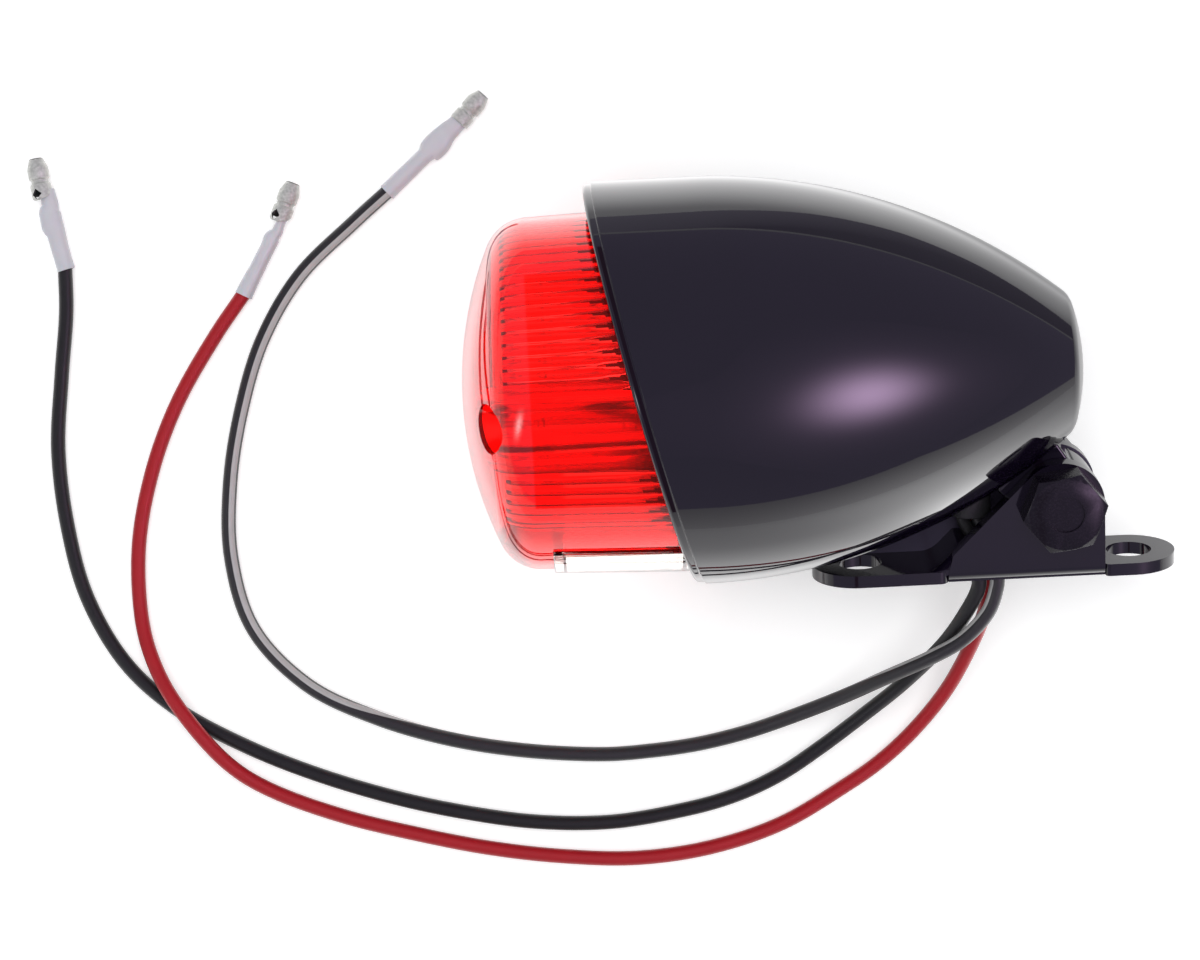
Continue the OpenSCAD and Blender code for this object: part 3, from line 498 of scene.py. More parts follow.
REST_Z = 1.4
GROMMET_TOP, GROMMET_FACE = -34, -37.5
black_points = [
    (27.4, -38, 24.9), (25.5, -42, 22.5), (21.5, -48, 17.5), (14.5, -55, 11.5), (7, -61, 6.7),
    (-0.5, -66.5, 3.5), (-8.5, -71.5, 1.9), (-17, -75, REST_Z), (-26.5, -77.2, REST_Z),
    (-40, -78.8, REST_Z), (-54, -78.1, REST_Z), (-68, -75.5, REST_Z), (-81, -72, REST_Z),
    (-94.5, -67.2, REST_Z), (-107, -61.5, REST_Z), (-119, -54.3, REST_Z),
    (-128.5, -45, REST_Z), (-135, -32.5, REST_Z), (-138, -19, REST_Z), (-139, -5, REST_Z),
    (-137.7, 8.7, REST_Z), (-136.3, 20, 1.5), (-136.05, 29, 1.7)]
striped_points = [
    (30.6, -38, 25.4), (28.9, -42.6, 23.9), (24.6, -47.1, 22.1), (19, -50.2, 20),
    (11, -53.7, 15.5), (3, -57.3, 10), (-5.5, -60.5, 5.7), (-14, -63.2, 2.9),
    (-23, -65.1, 1.6), (-32, -66, REST_Z), (-41.7, -66.2, REST_Z), (-55.6, -64.8, REST_Z),
    (-69.3, -62, REST_Z), (-82.5, -57.5, REST_Z), (-95, -50.8, REST_Z),
    (-104.5, -40, REST_Z), (-108, -26.5, REST_Z), (-107.5, -12.5, REST_Z),
    (-104.7, 1, REST_Z), (-100.2, 13.6, REST_Z), (-92.8, 25, REST_Z), (-82.5, 34.2, 1.5),
    (-75.25, 40.15, 1.7)]
red_points = [
    (29.2, -38, 21.4), (29, -42.7, 18), (26.5, -49.5, 12.5), (22.5, -57, 7.3),
    (17, -63.8, 3.8), (10.7, -69.5, 2), (3.5, -74.2, REST_Z), (-8.6, -80.6, REST_Z),
    (-22, -84.4, REST_Z), (-35.7, -85.7, REST_Z), (-49.5, -84.7, REST_Z),
    (-63, -82.5, REST_Z), (-76.5, -79.2, REST_Z), (-89.7, -75.3, REST_Z),
    (-102.4, -70, 1.8), (-110.5, -64.2, 3.3), (-117.8, -55, 4.4), (-122.6, -46.4, 3.1),
    (-125.1, -36.6, 1.6), (-124.9, -23, REST_Z), (-121.7, -9.5, REST_Z),
    (-116.5, 2.7, REST_Z), (-109.3, 14.1, 1.5), (-102.9, 22.6, 1.7)]
hidden, shown = math.radians(128), math.radians(30)
stripe_turn = eased([(0, math.radians(62)), (0.12, math.radians(70)), (0.2, hidden),
                     (0.46, hidden), (0.56, shown), (1, shown)])
# Name, finish, bore in the foot's grommet, points, and the foot and the heading of the
# terminal
wires = [
    ("black", pvc_black, (58.7, 1.2), black_points,
     (-139.5, 42.1, 2), 98),
    ("striped", pvc_striped, (61.9, 1.6), striped_points,
     (-62, 51.8, 2), 46),
    ("red", pvc_red, (60.3, -1.9), red_points,
     (-95.8, 35.8, 2), 67)]


def sleeve(name, wire_path, foot, heading, left, right):
    """A crimp sleeve: a thin rim over the wire, then straight to the terminal. left and right
    are how far each side swells or draws in along the way, seen from above."""
    way = Vector((math.cos(heading), math.sin(heading), 0))
    tip = Vector(foot) + 0.7 * way
    start = wire_path[-1]
    back = (start - tip).normalized()
    across = Vector((0, 0, 1)).cross(back)
    left, right = eased(left), eased(right)
    path = []
    for i in range(70):
        s = i / 69
        path.append(start.lerp(tip, s) + across * (right(s) - left(s)) / 2)
    path = [start + back * d for d in (0.9, 0.75, 0.4)] + path
    thick = eased([(0, 0), (0.4, 0), (0.6, -0.12), (0.85, -0.34), (1, -0.4)])

    def size(share):
        rim = 0.06 if share < 0.02 else 0
        return 1.64 + rim + (left(share) + right(share)) / 2, 1.64 + rim + thick(share)
    obj = tube(name, path, size, 40, sleeve_milky)
    # The open end is a short bore round the wire
    form = bmesh.new()
    form.from_mesh(obj.data)
    form.verts.ensure_lookup_table()
    cap = next(f for f in form.faces if len(f.verts) == 40
               and all(v.index < 40 for v in f.verts))
    centre, depth = path[0], -back * 1.2
    grown = bmesh.ops.inset_region(form, faces=[cap], thickness=0.22)
    bore = bmesh.ops.extrude_discrete_faces(form, faces=[cap])["faces"][0]
    bmesh.ops.translate(form, vec=depth, verts=bore.verts)
    form.to_mesh(obj.data)
    form.free()
    # The thin band at the lip of the open end is near white: a painted highlight along the rim
    obj.data.materials.append(sleeve_painted_highlight)
    for face in obj.data.polygons:
        if min(face.vertices) < 40 and max(face.vertices) < 80:
            face.material_index = 1
    return smooth(obj, 40)


def terminal(name, foot, heading, opening, lean):
    """A rolled bullet: two lands with a groove between, a tapered tip, a seam, and an opening
    beside the crimp at the angle given, from its top towards its left. The opening and the inside
    of the bore at both ends are painted near black, as painted shade. lean is how far its base
    slants back on that side."""
    r = BULLET_R - 0.05
    steps, seam = 90, 0.16

    def ring(x, radius, cut=True):
        def at(t):
            off = (t - opening + math.pi) % (2 * math.pi) - math.pi
            inside = cut and lean == 0 and abs(off) < seam / 2
            back = lean * math.cos(off) * max(0, 1 - x / 1.9)
            return x - back, radius - (0.35 if inside else 0)
        return at
    outer = [(0, r - 0.14), (0.14, r), (1.95, r), (2.15, r - 0.1), (2.35, r - 0.36),
             (2.85, r - 0.36), (3.05, r - 0.1), (3.2, r), (5, r), (5.2, r - 0.05),
             (BULLET_LEN - 0.5, r * 0.74), (BULLET_LEN - 0.15, r * 0.68),
             (BULLET_LEN, r * 0.58)]
    profile = [(2.4, 0), (2.4, 1.2), (0, r - 0.4)]
    profile += [ring(x, radius) for x, radius in outer]
    profile += [(BULLET_LEN, 0.75), (BULLET_LEN - 0.7, 0.62), (BULLET_LEN - 0.7, 0)]
    obj = revolve(name, profile, steps, tin)
    obj.data.materials.append(bore_painted_shade)
    # Bore faces at both ends: painted shade in near black
    for face in obj.data.polygons:
        c = face.center
        if math.hypot(c.y, c.z) < r - 0.42 and (c.x < 2.6 or c.x > BULLET_LEN - 0.2):
            face.material_index = 1
    # The opening's faces carry the same painted shade
    notch = revolve("notch", [(-1.2, 0), (-1.2, 0.95), (0.6, 1.05), (0.6, 0)], 4, bore_painted_shade)
    notch.data.transform(Matrix.Rotation(-math.pi / 2, 4, "Y"))
    notch.data.transform(Matrix.Translation((0.28, 0, r)))
    notch.data.transform(Matrix.Rotation(opening - math.pi / 2, 4, "X"))
    boolean(obj, notch)
    smooth(obj, 34)
    spin = Matrix.Rotation(math.pi / 2, 4, "X")
    stand = Matrix.Translation(foot) @ Matrix.Rotation(heading, 4, "Z") @ spin
    return place(obj, ROW_MM @ stand)


# How the left and the right side of each sleeve swell along it
SIDES = {
    "black": ([(0, 0), (0.42, -0.1), (0.55, 0.4), (0.7, 0.2), (0.82, -0.75), (1, -1.5)],
              [(0, 0), (1, 0.75)]),
    "striped": ([(0, 0), (0.5, -0.1), (0.6, 0.65), (0.7, 0.7), (1, 0)],
                [(0, 0), (0.52, -0.05), (0.6, 0.85), (0.66, 0.85), (0.85, 0.1), (1, -0.1)]),
    "red": ([(0, 0), (0.45, -0.45), (0.6, -0.5), (0.7, -0.35), (0.8, -1.2), (1, -1.3)],
            [(0, 0), (0.5, 0), (0.75, 0.1), (0.93, -0.2), (1, -0.3)])}
# Angle of each terminal's opening, which carries painted shade, and the slant of its base
OPENINGS = {"black": (-0.45, 0.9), "striped": (2.4, 0), "red": (-0.55, 0.9)}
for label, finish, bore, points, foot, heading in wires:
    route = [laid((bore[0], GROMMET_TOP, bore[1])), laid((bore[0], GROMMET_FACE, bore[1]))]
    route += [Vector(p) for p in points]
    steps = 12 * len(points)
    path = [route[0]] + [on_curve(route, 1 + (len(route) - 2) * i / steps)
                         for i in range(steps + 1)]
    turn = stripe_turn if label == "striped" else (lambda share: 0.0)
    wire = tube("cable_" + label, path, lambda share: (WIRE_R, WIRE_R), 24, finish, turn)
    place(wire, ROW_MM)
    rides(wire, "bracket_body", "pvc_" + label, "wire_" + label)
    heading = math.radians(heading)
    end = sleeve("crimp_sleeve_" + label, path, foot, heading, *SIDES[label])
    place(end, ROW_MM)
    rides(end, "bracket_body", "sleeve_clear", "sleeve_" + label)
    bullet = terminal("bullet_" + label, foot, heading, *OPENINGS[label])
    rides(bullet, "bracket_body", "terminal_tinned", "terminal_" + label)


# ---- Outlines shared by the pieces: (x, radius) in the lamp's frame ----
def mouth(radius, depth):
    """A ring on a plane that lies the given depth behind the slanted mouth."""
    def at(t):
        return ((depth - radius * math.cos(t) * math.sin(MOUTH_SLANT)) / math.cos(MOUTH_SLANT),
                radius)
    return at


def meet(c1, r1, c2, r2):
    """Where two circles about (x, radius) centres cross on the outer side."""
    d = c2 - c1
    a = (r1 * r1 - r2 * r2 + d.length_squared) / (2 * d.length)
    h = math.sqrt(r1 * r1 - a * a)
    u = d.normalized()
    return c1 + a * u + h * Vector((-u.y, u.x))


def bearing(v):
    """Angle from the radial direction towards +x."""
    return math.atan2(v.x, v.y)


def bow(centre, radius, start, end, count, first=0):
    """An arc of (x, radius) points, with angles as bearing() has them."""
    return [(centre.x + radius * math.sin(a), centre.y + radius * math.cos(a))
            for a in (start + (end - start) * i / count for i in range(first, count + 1))]


TAPER_C = Vector((TAPER_X, HOUSING_R - TAPER_R))
NOSE_C = Vector((NOSE_X - NOSE_R, 0))


def crossing(c1, r1, c2, r2):
    flip = meet(Vector((c1.y, c1.x)), r1, Vector((c2.y, c2.x)), r2)
    return Vector((flip.y, flip.x))


BLEND_C = crossing(TAPER_C, TAPER_R - NOSE_BLEND, NOSE_C, NOSE_R - NOSE_BLEND)
TAPER_END = bearing(BLEND_C - TAPER_C)
NOSE_START = bearing(BLEND_C - NOSE_C)
INNER_CORNER = crossing(TAPER_C, TAPER_R - WALL, NOSE_C, NOSE_R - WALL)


def housing_skin(where):
    """Direction and distance of a (x, radius) point from the housing's outer skin."""
    if where.x <= TAPER_X:
        return Vector((0, 1)), where.y - HOUSING_R
    away = where - TAPER_C
    if bearing(away) <= TAPER_END:
        return away.normalized(), away.length - TAPER_R
    if bearing(where - NOSE_C) < NOSE_START:
        away = where - BLEND_C
        return away.normalized(), away.length - NOSE_BLEND
    away = where - NOSE_C
    return away.normalized(), away.length - NOSE_R


def skin_normal(skin, facing=1, x_end=1000, axis_y=0):
    """Exact normals for the mesh corners that lie on a turned skin, for place()."""
    def normal(point, face_normal):
        y = point.y - axis_y
        r = math.hypot(y, point.z)
        if r < 1e-6 or point.x > x_end:
            return None
        away, off = skin(Vector((point.x, r)))
        away = away * facing
        n = Vector((away.x, away.y * y / r, away.y * point.z / r))
        return n if abs(off) < 0.03 and n.dot(face_normal) > 0.97 else None
    return normal


def make_housing():
    inner = HOUSING_R - WALL
    lip_r = HOUSING_R - STEP_DEPTH
    round_in, round_out = 0.35, 0.75
    first = 12
    taper_first = math.asin((first - TAPER_X) / TAPER_R)
    inner_first = math.asin((20 - TAPER_X) / (TAPER_R - WALL))
    profile = [mouth(inner + round_in * (1 - math.sin(a)), round_in * (1 - math.cos(a)))
               for a in (math.pi / 2 * (1 - i / 4) for i in range(5))]
    profile += [mouth(lip_r - round_out * (1 - math.sin(a)), round_out * (1 - math.cos(a)))
                for a in (math.pi / 2 * i / 7 for i in range(8))]
    profile += [mouth(lip_r, STEP_WIDTH - 0.25), mouth(lip_r + 0.02, STEP_WIDTH - 0.1),
                mouth(lip_r + 0.08, STEP_WIDTH - 0.02), mouth(lip_r + 0.18, STEP_WIDTH + 0.02),
                mouth(lip_r + 0.26, STEP_WIDTH + 0.09), mouth(HOUSING_R, STEP_WIDTH + 0.24)]
    profile += bow(TAPER_C, TAPER_R, taper_first, TAPER_END, 44)
    profile += bow(BLEND_C, NOSE_BLEND, TAPER_END, NOSE_START, 12, 1)
    profile += bow(NOSE_C, NOSE_R, NOSE_START, math.pi / 2, 16, 1)[:-1] + [(NOSE_X, 0)]
    profile += [(NOSE_X - WALL, 0)]
    nose_in = bearing(INNER_CORNER - NOSE_C)
    profile += bow(NOSE_C, NOSE_R - WALL, math.pi / 2, nose_in, 10, 1)
    profile += bow(TAPER_C, TAPER_R - WALL, bearing(INNER_CORNER - TAPER_C), inner_first, 20, 1)
    profile += [mouth(inner - 0.2, 8), mouth(31, 8), mouth(31, 5.6), mouth(inner, 5.6)]
    shell = revolve("housing", profile, 288, housing_paint, loop=True)
    boolean(shell, rod("outlet", 3.6, (OUTLET_X, -15, 0), (OUTLET_X, -40, 0), 48, housing_paint))
    start, end = math.radians(74), math.radians(206 - 360)
    neck = arc((HINGE_X, HINGE_Y), LUG_R - 0.1, end, start, 1)
    outline = [neck[0], (62, -21.6), (63, -16), (71, -11), neck[1]]
    outline += arc((HINGE_X, HINGE_Y), LUG_R, start, end, 60, 1)[:-1]
    lug = prism("housing_lug", outline, -LUG_HALF, LUG_HALF, housing_paint)
    bevel(lug, 0.5)
    smooth(shell, 28)
    place(shell, LAMP, skin_normal(housing_skin))
    place(lug, LAMP)
    rides(lug, "lamp_head", "housing_black")
    return rides(shell, "lamp_head", "housing_black", "housing_shell")


OUTLET_X, OUTLET_Y = 57.6, -27
make_housing()


# ---- Lens ----
class Bullet:
    """Outline of the lens or of its hollow: a shallow dome, a corner and a widening side."""
    def __init__(self, tip, side, corner, axis_y):
        self.tip, self.side, self.corner, self.axis_y = tip, side, corner, axis_y
        self.dome_c = Vector((tip + DOME_R, 0))
        ring = side - corner
        self.corner_c = Vector((self.dome_c.x - math.sqrt((DOME_R - corner) ** 2 - ring ** 2),
                                ring))
        self.dome_end = math.atan2(ring, self.dome_c.x - self.corner_c.x)

    def side_r(self, x):
        return self.side + (x - self.corner_c.x) * math.tan(LENS_TAPER)

    def skin(self, where):
        """Direction and distance of a (x, radius) point from the skin."""
        away = where - self.dome_c
        if math.atan2(away.y, -away.x) < self.dome_end:
            return away.normalized(), away.length - DOME_R
        away = where - self.corner_c
        if math.atan2(away.y, -away.x) < SIDE_START and away.y > 0:
            return away.normalized(), away.length - self.corner
        slope = Vector((-math.sin(LENS_TAPER), math.cos(LENS_TAPER)))
        return slope, (where.y - self.side_r(where.x)) * math.cos(LENS_TAPER)

    def front(self, dome=24, corner=18):
        """The outline from the tip to the end of its corner."""
        c = self.corner_c
        points = [(self.tip, 0, self.axis_y)]
        points += [(self.dome_c.x - DOME_R * math.cos(a), DOME_R * math.sin(a), self.axis_y)
                   for a in (self.dome_end * i / dome for i in range(1, dome + 1))]
        points += [(c.x - self.corner * math.cos(a), c.y + self.corner * math.sin(a),
                    self.axis_y)
                   for a in (self.dome_end + (SIDE_START - self.dome_end) * i / corner
                             for i in range(1, corner + 1))]
        return points

    def behind(self, depth, radius_at=None):
        """A ring on a plane behind the mouth, with a radius that depends on x and the angle."""
        radius_at = radius_at or (lambda x, t: self.side_r(x))

        def at(t):
            x, r = 0.0, self.side
            for _ in range(4):
                y = r * math.cos(t) + self.axis_y
                x = (depth - y * math.sin(MOUTH_SLANT)) / math.cos(MOUTH_SLANT)
                r = radius_at(x, t)
            return x, r, self.axis_y
        return at


SIDE_START = math.pi / 2 + LENS_TAPER
PLAIN_HALF = math.radians(48)  # no ribs this near to the middle of the window
skin = Bullet(LENS_TIP, LENS_R, CORNER_R, -LENS_DROP)
hollow = Bullet(LENS_TIP + LENS_FRONT, LENS_R - (LENS_WALL + LENS_BASE) / 2, HOLLOW_CORNER,
                (LENS_BASE - LENS_WALL) / 2 - LENS_DROP)


def flute_r(x, t, valley, width):
    """The hollow's radius with convex ribs. valley is how deep the lines between them are,
    and width is the share of each rib's pitch that it fills."""
    u = 2 * ((t * FLUTES / (2 * math.pi) + 0.5 + 1e-9) % 1) - 1
    crest = math.sqrt(1 - (u / width) ** 2) if abs(u) < width else 0
    if math.cos(t) < -math.cos(PLAIN_HALF):
        crest = 1
    return hollow.side_r(x) + valley * (1 - crest)


def make_lens():
    steps = 8 * FLUTES
    outside = skin.front() + [(-15, skin.side_r(-15), skin.axis_y), skin.behind(FLANGE_FRONT),
                              mouth(FLANGE_R - 0.2, FLANGE_FRONT),
                              mouth(FLANGE_R, FLANGE_FRONT + 0.2), mouth(FLANGE_R, FLANGE_BACK)]
    inside = []
    for depth, width in ((FLANGE_BACK, 0.45), (1, 0.5), (-1.2, 0.6), (-3.2, 0.74), (-5.2, 0.9),
                         (-6.4, 1.0)):
        inside.append(hollow.behind(
            depth, lambda x, t, w=width: flute_r(x, t, FLUTE_DEPTH, w)))
    ribs = hollow.corner_c.x
    for x, share in ((2.4, 1), (0.9, 1), (0.2, 0.95), (-0.2, 0.75), (-0.45, 0.4)):
        inside.append(lambda t, x=ribs + x, s=share: (x, flute_r(x, t, FLUTE_DEPTH * s, 1.0),
                                                      hollow.axis_y))
    inside += [p for p in reversed(hollow.front(20, 14)) if p[0] < ribs - 0.5]
    lens = revolve("lens_moulding", outside + inside, steps, lens_red)
    for side in (1, -1):
        inset = Bullet(LENS_TIP + 0.05, LENS_R - 0.05, CORNER_R - 0.05, -LENS_DROP)
        plug = inset.front() + [(-15, inset.side_r(-15), inset.axis_y), inset.behind(4.3),
                                mouth(10, 4.3), mouth(1, 4.3)]
        boss = revolve("boss", plug, 192, lens_red)
        boolean(boss, rod("well", BOSS_R, (-40, 0, side * SCREW_Z), (30, 0, side * SCREW_Z), 96,
                          lens_red), "INTERSECT")
        boolean(lens, boss, "UNION")
        bore = revolve("bore", [(-40, 0), (-40, WELL_R + 0.45), (SEAT_X, WELL_R - 0.3),
                                (SEAT_X, 2.2), (40, 2.2), (40, 0)], 96, lens_red)
        bore.data.transform(Matrix.Translation((0, 0, side * SCREW_Z)))
        boolean(lens, bore)
    boolean(lens, sector("seat", WINDOW_HALF, WINDOW_X, WINDOW_END, WINDOW_SEAT, (40, 40),
                         lens_red))
    boolean(lens, sector("gap", WINDOW_HALF - math.radians(3), WINDOW_X + WINDOW_LIP,
                         WINDOW_END - WINDOW_LIP, 20, (40, 40), lens_red))
    smooth(lens, 30)
    lens.data.materials.append(lens_painted_shade)
    within = lens.data.attributes.new("inside", "FLOAT", "FACE")
    for face, share in zip(lens.data.polygons, within.data):
        c = face.center
        if math.hypot(c.y, abs(c.z) - SCREW_Z) < WELL_R + 0.6:
            continue
        share.value = skin.skin(Vector((c.x, math.hypot(c.y - skin.axis_y, c.z))))[1] < -0.5
        t = math.atan2(c.z, c.y - hollow.axis_y)
        u = abs(2 * ((t * FLUTES / (2 * math.pi) + 0.5) % 1) - 1)
        depth = c.x * math.cos(MOUTH_SLANT) + c.y * math.sin(MOUTH_SLANT)
        off = abs(math.hypot(c.y - hollow.axis_y, c.z) - hollow.side_r(c.x))
        # Flats between the rib ends near the mouth, which get the painted shade
        dark = (-6 < depth < 1.5 and u > 0.55 - 0.085 * depth
                or -0.45 < c.x - ribs < 0.2 and u > 0.8)
        if dark and off < FLUTE_DEPTH + 0.1 and math.cos(t) > -math.cos(PLAIN_HALF):
            face.material_index = 1
    outer = skin_normal(skin.skin, 1, 1000, skin.axis_y)
    inner = skin_normal(hollow.skin, -1, hollow.corner_c.x - 0.6, hollow.axis_y)
    place(lens, LAMP, lambda point, n: outer(point, n) or inner(point, n))
    lens.visible_shadow = False
    return rides(lens, "lamp_head", "lens_red", "lens")


def make_window():
    gap, turn = 0.05, math.radians(3.1)
    ends = [skin.side_r(x) + WINDOW_PROUD for x in (WINDOW_X, WINDOW_END)]
    plate = sector("number_window", WINDOW_HALF - math.radians(0.1), WINDOW_X + gap,
                   WINDOW_END - gap, WINDOW_SEAT + gap, ends, window_clear, 64)
    plug = sector("plug", WINDOW_HALF - turn, WINDOW_X + WINDOW_LIP + gap,
                  WINDOW_END - WINDOW_LIP - gap, WINDOW_PLUG, (WINDOW_SEAT + 0.4,) * 2,
                  window_clear, 64)
    boolean(plate, plug, "UNION")
    bevel(plate, 0.3, 3, 40)
    place(plate)
    plate.visible_shadow = False
    return rides(plate, "lamp_head", "window_clear", "plate_window")


make_lens()
make_window()


# ---- Bracket ----
FOOT_T, CHEEK_R, CHEEK_IN, CHEEK_OUT, FOOT_ROUND = 2.2, 7.6, 4.6, 7.9, 2
FRONT_HOLE, HOLE_R, GUSSET_R, CHANNEL_X = 37.7, 4, 6.9, (52, 64.5)
# Near cheek: where its sloping edge turns down to the foot, and where it reaches it
CHEEK_TURN_Y, CHEEK_FOOT_X = -32.1, 52.8
# Closed front of the channel: start and radius of its fillet, its top, wall and rounded end
FRONT_X, FRONT_R, FRONT_TOP, FRONT_WALL, FRONT_ROUND = 48.8, 4.7, -31, 1.7, 2.5


def front_wall(top):
    """The wall that rises from the foot under the near cheek's edge, round at its near end."""
    bend = arc((FRONT_X, top + FRONT_R), FRONT_R, -math.pi / 2, -math.pi / 4, 12)
    climb = FRONT_TOP - bend[-1][1]
    tip = (bend[-1][0] + climb, FRONT_TOP)
    outline = bend + [tip, (tip[0] + FRONT_WALL, tip[1]), (53.5, -33.9), (51.9, -33.9),
                      (51.9, top - 1), (FRONT_X, top - 1)]
    last = len(outline) - 2
    z_end = CHEEK_OUT - 0.15
    levels = [(-CHEEK_IN - 0.2, 0)]
    for k in range(9):
        a = math.pi / 2 * k / 8
        levels.append((z_end - FRONT_ROUND * (1 - math.sin(a)), FRONT_ROUND * (1 - math.cos(a))))
    points, faces, n = [], [], len(outline)
    for z, inset in levels:
        for k, (x, y) in enumerate(outline):
            share = min(1, max(0, (y - top) / 1.5)) if k < len(bend) else int(k < last)
            points.append((x + 0.6 * inset * share, y - 0.6 * inset * share, z))
    for i in range(len(levels) - 1):
        faces += [(i * n + k, i * n + (k + 1) % n, (i + 1) * n + (k + 1) % n, (i + 1) * n + k)
                  for k in range(n)]
    faces += [tuple(range(n)), tuple((len(levels) - 1) * n + k for k in range(n))]
    return made("front_wall", points, faces, bracket_paint)


def make_bracket():
    top, rear = FOOT_Y + FOOT_T, HINGE_X + CHEEK_R
    crown = arc((HINGE_X, HINGE_Y), CHEEK_R, 0, math.radians(135), 40)
    turn = (crown[-1][0] - (crown[-1][1] - CHEEK_TURN_Y), CHEEK_TURN_Y)
    sides = crown + [turn, (CHEEK_FOOT_X, top - 0.2), (CHEEK_FOOT_X, FOOT_Y), (rear, FOOT_Y)]
    bracket = prism("foot_bracket", sides, CHEEK_IN, CHEEK_OUT, bracket_paint)
    boolean(bracket, prism("far", sides, -CHEEK_OUT, -CHEEK_IN, bracket_paint), "UNION")
    reach = math.hypot(HINGE_X - FRONT_HOLE, HINGE_Y - top)
    slope = math.atan2(HINGE_Y - top, HINGE_X - FRONT_HOLE) + math.asin(GUSSET_R / reach)
    gusset = [(FRONT_HOLE, FOOT_Y), (HINGE_X, FOOT_Y), (HINGE_X, HINGE_Y),
              (HINGE_X - GUSSET_R * math.sin(slope), HINGE_Y + GUSSET_R * math.cos(slope)),
              (FRONT_HOLE, top)]
    boolean(bracket, prism("gusset", gusset, -CHEEK_OUT, -CHEEK_IN - 0.001, bracket_paint),
            "UNION")
    h = CHEEK_OUT - FOOT_ROUND
    rolled = [(20, CHEEK_OUT), (20, -CHEEK_OUT)]
    rolled += arc((FOOT_Y + FOOT_ROUND, -h), FOOT_ROUND, -math.pi / 2, -math.pi, 10)
    rolled += arc((FOOT_Y + FOOT_ROUND, h), FOOT_ROUND, math.pi, math.pi / 2, 10)
    block = prism("block", rolled, 20, 100, bracket_paint)
    turned(block, ((0, 0, 1, 0), (1, 0, 0, 0), (0, 1, 0, 0), (0, 0, 0, 1)))
    boolean(bracket, block, "INTERSECT")
    boolean(bracket, front_wall(top), "UNION")
    w, neck, ear = FOOT_HALF, 1.6, 0.8
    plan = arc((FRONT_HOLE - 0.4, 0), w, math.pi / 2, 3 * math.pi / 2, 40)
    plan += [(CHEEK_FOOT_X, -w), (CHEEK_FOOT_X, -7), (rear, -7), (rear, -w)]
    plan += arc((REAR_HOLE, 0), w, -math.pi / 2, math.pi / 2, 40)
    plan += arc((rear + 0.1 + ear, w - ear), ear, math.pi / 2, math.pi, 6)
    plan += [(rear + 0.1, 7), (CHEEK_FOOT_X, 7)]
    plan += arc((CHEEK_FOOT_X - neck, w - neck), neck, 0, math.pi / 2, 8)
    foot = prism("foot", plan, 0, FOOT_T, bracket_paint)
    turned(foot, ((1, 0, 0, 0), (0, 0, 1, FOOT_Y), (0, 1, 0, 0), (0, 0, 0, 1)))
    boolean(bracket, foot, "UNION")
    channel = prism("channel", [(CHANNEL_X[0], -50), (CHANNEL_X[1], -50),
                                (CHANNEL_X[1], -33.9), (CHANNEL_X[0], -33.9)],
                    -CHEEK_IN, CHEEK_IN, bracket_paint)
    boolean(bracket, channel)
    for x in (FRONT_HOLE, REAR_HOLE):
        boolean(bracket, rod("hole", HOLE_R, (x, -50, 0), (x, -30, 0), 64, bracket_paint))
    boolean(bracket, rod("hinge", 4.05, (HINGE_X, HINGE_Y, -20), (HINGE_X, HINGE_Y, 20), 64,
                         bracket_paint))
    bevel(bracket, 0.4)
    # The far cheek's inner face gets the lighter violet, a painted reflection of the sky
    bracket.data.materials.append(far_cheek_painted_reflection)
    for face in bracket.data.polygons:
        if face.normal.z > 0.98 and abs(face.center.z + CHEEK_IN) < 0.05:
            face.material_index = 1
    place(bracket)
    return rides(bracket, "bracket_body", "bracket_black", "bracket")


make_bracket()

# ---- Hinge and rubber parts: the CAD meshes with their edges rounded ----
edged("foot_rubber", "bracket_grommet", 0.3, rubber, "bracket_body", "rubber_black")
edged("hex_bolt", "hinge_bolt", 0.18, bolt_paint, "bracket_body", "bolt_black", 2)
edged("hex_nut", "hinge_nut", 0.18, bolt_paint, "bracket_body", "bolt_black", 2)
edged("split_washer", "spring_washer", 0.2, bolt_paint, "bracket_body", "bolt_black", 2)
edged("outlet_rubber", "housing_grommet", 0.3, rubber, "lamp_head", "rubber_black", 2)
edged("gasket", "lens_gasket", 0.2, rubber, "lamp_head", "rubber_black", 2)


# ---- Spring and leads ----
SPRING_R, SPRING_WIRE, SPRING_TURNS, SPRING_X0, SPRING_X1 = 5.6, 0.45, 4, 37.5, 44.5


def make_spring():
    count = 40 * SPRING_TURNS
    path = [Vector((SPRING_X0 + (SPRING_X1 - SPRING_X0) * i / count,
                    SPRING_R * math.cos(2 * math.pi * SPRING_TURNS * i / count),
                    SPRING_R * math.sin(2 * math.pi * SPRING_TURNS * i / count)))
            for i in range(count + 1)]
    spring = tube("coil_spring", path, lambda s: (SPRING_WIRE,) * 2, 10, zinc,
                  up=Vector((1, 0, 0)))
    place(spring)
    rides(spring, "lamp_head", "steel", "contact_spring")
    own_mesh(spring)


LEAD_R, LEAD_PITCH_R, SOCKET_END = 1.2, 1.56, 46
leads = [("black", pvc_black, (58.7, 1.2)), ("striped", pvc_striped, (61.9, 1.6)),
         ("red", pvc_red, (60.3, -1.9))]


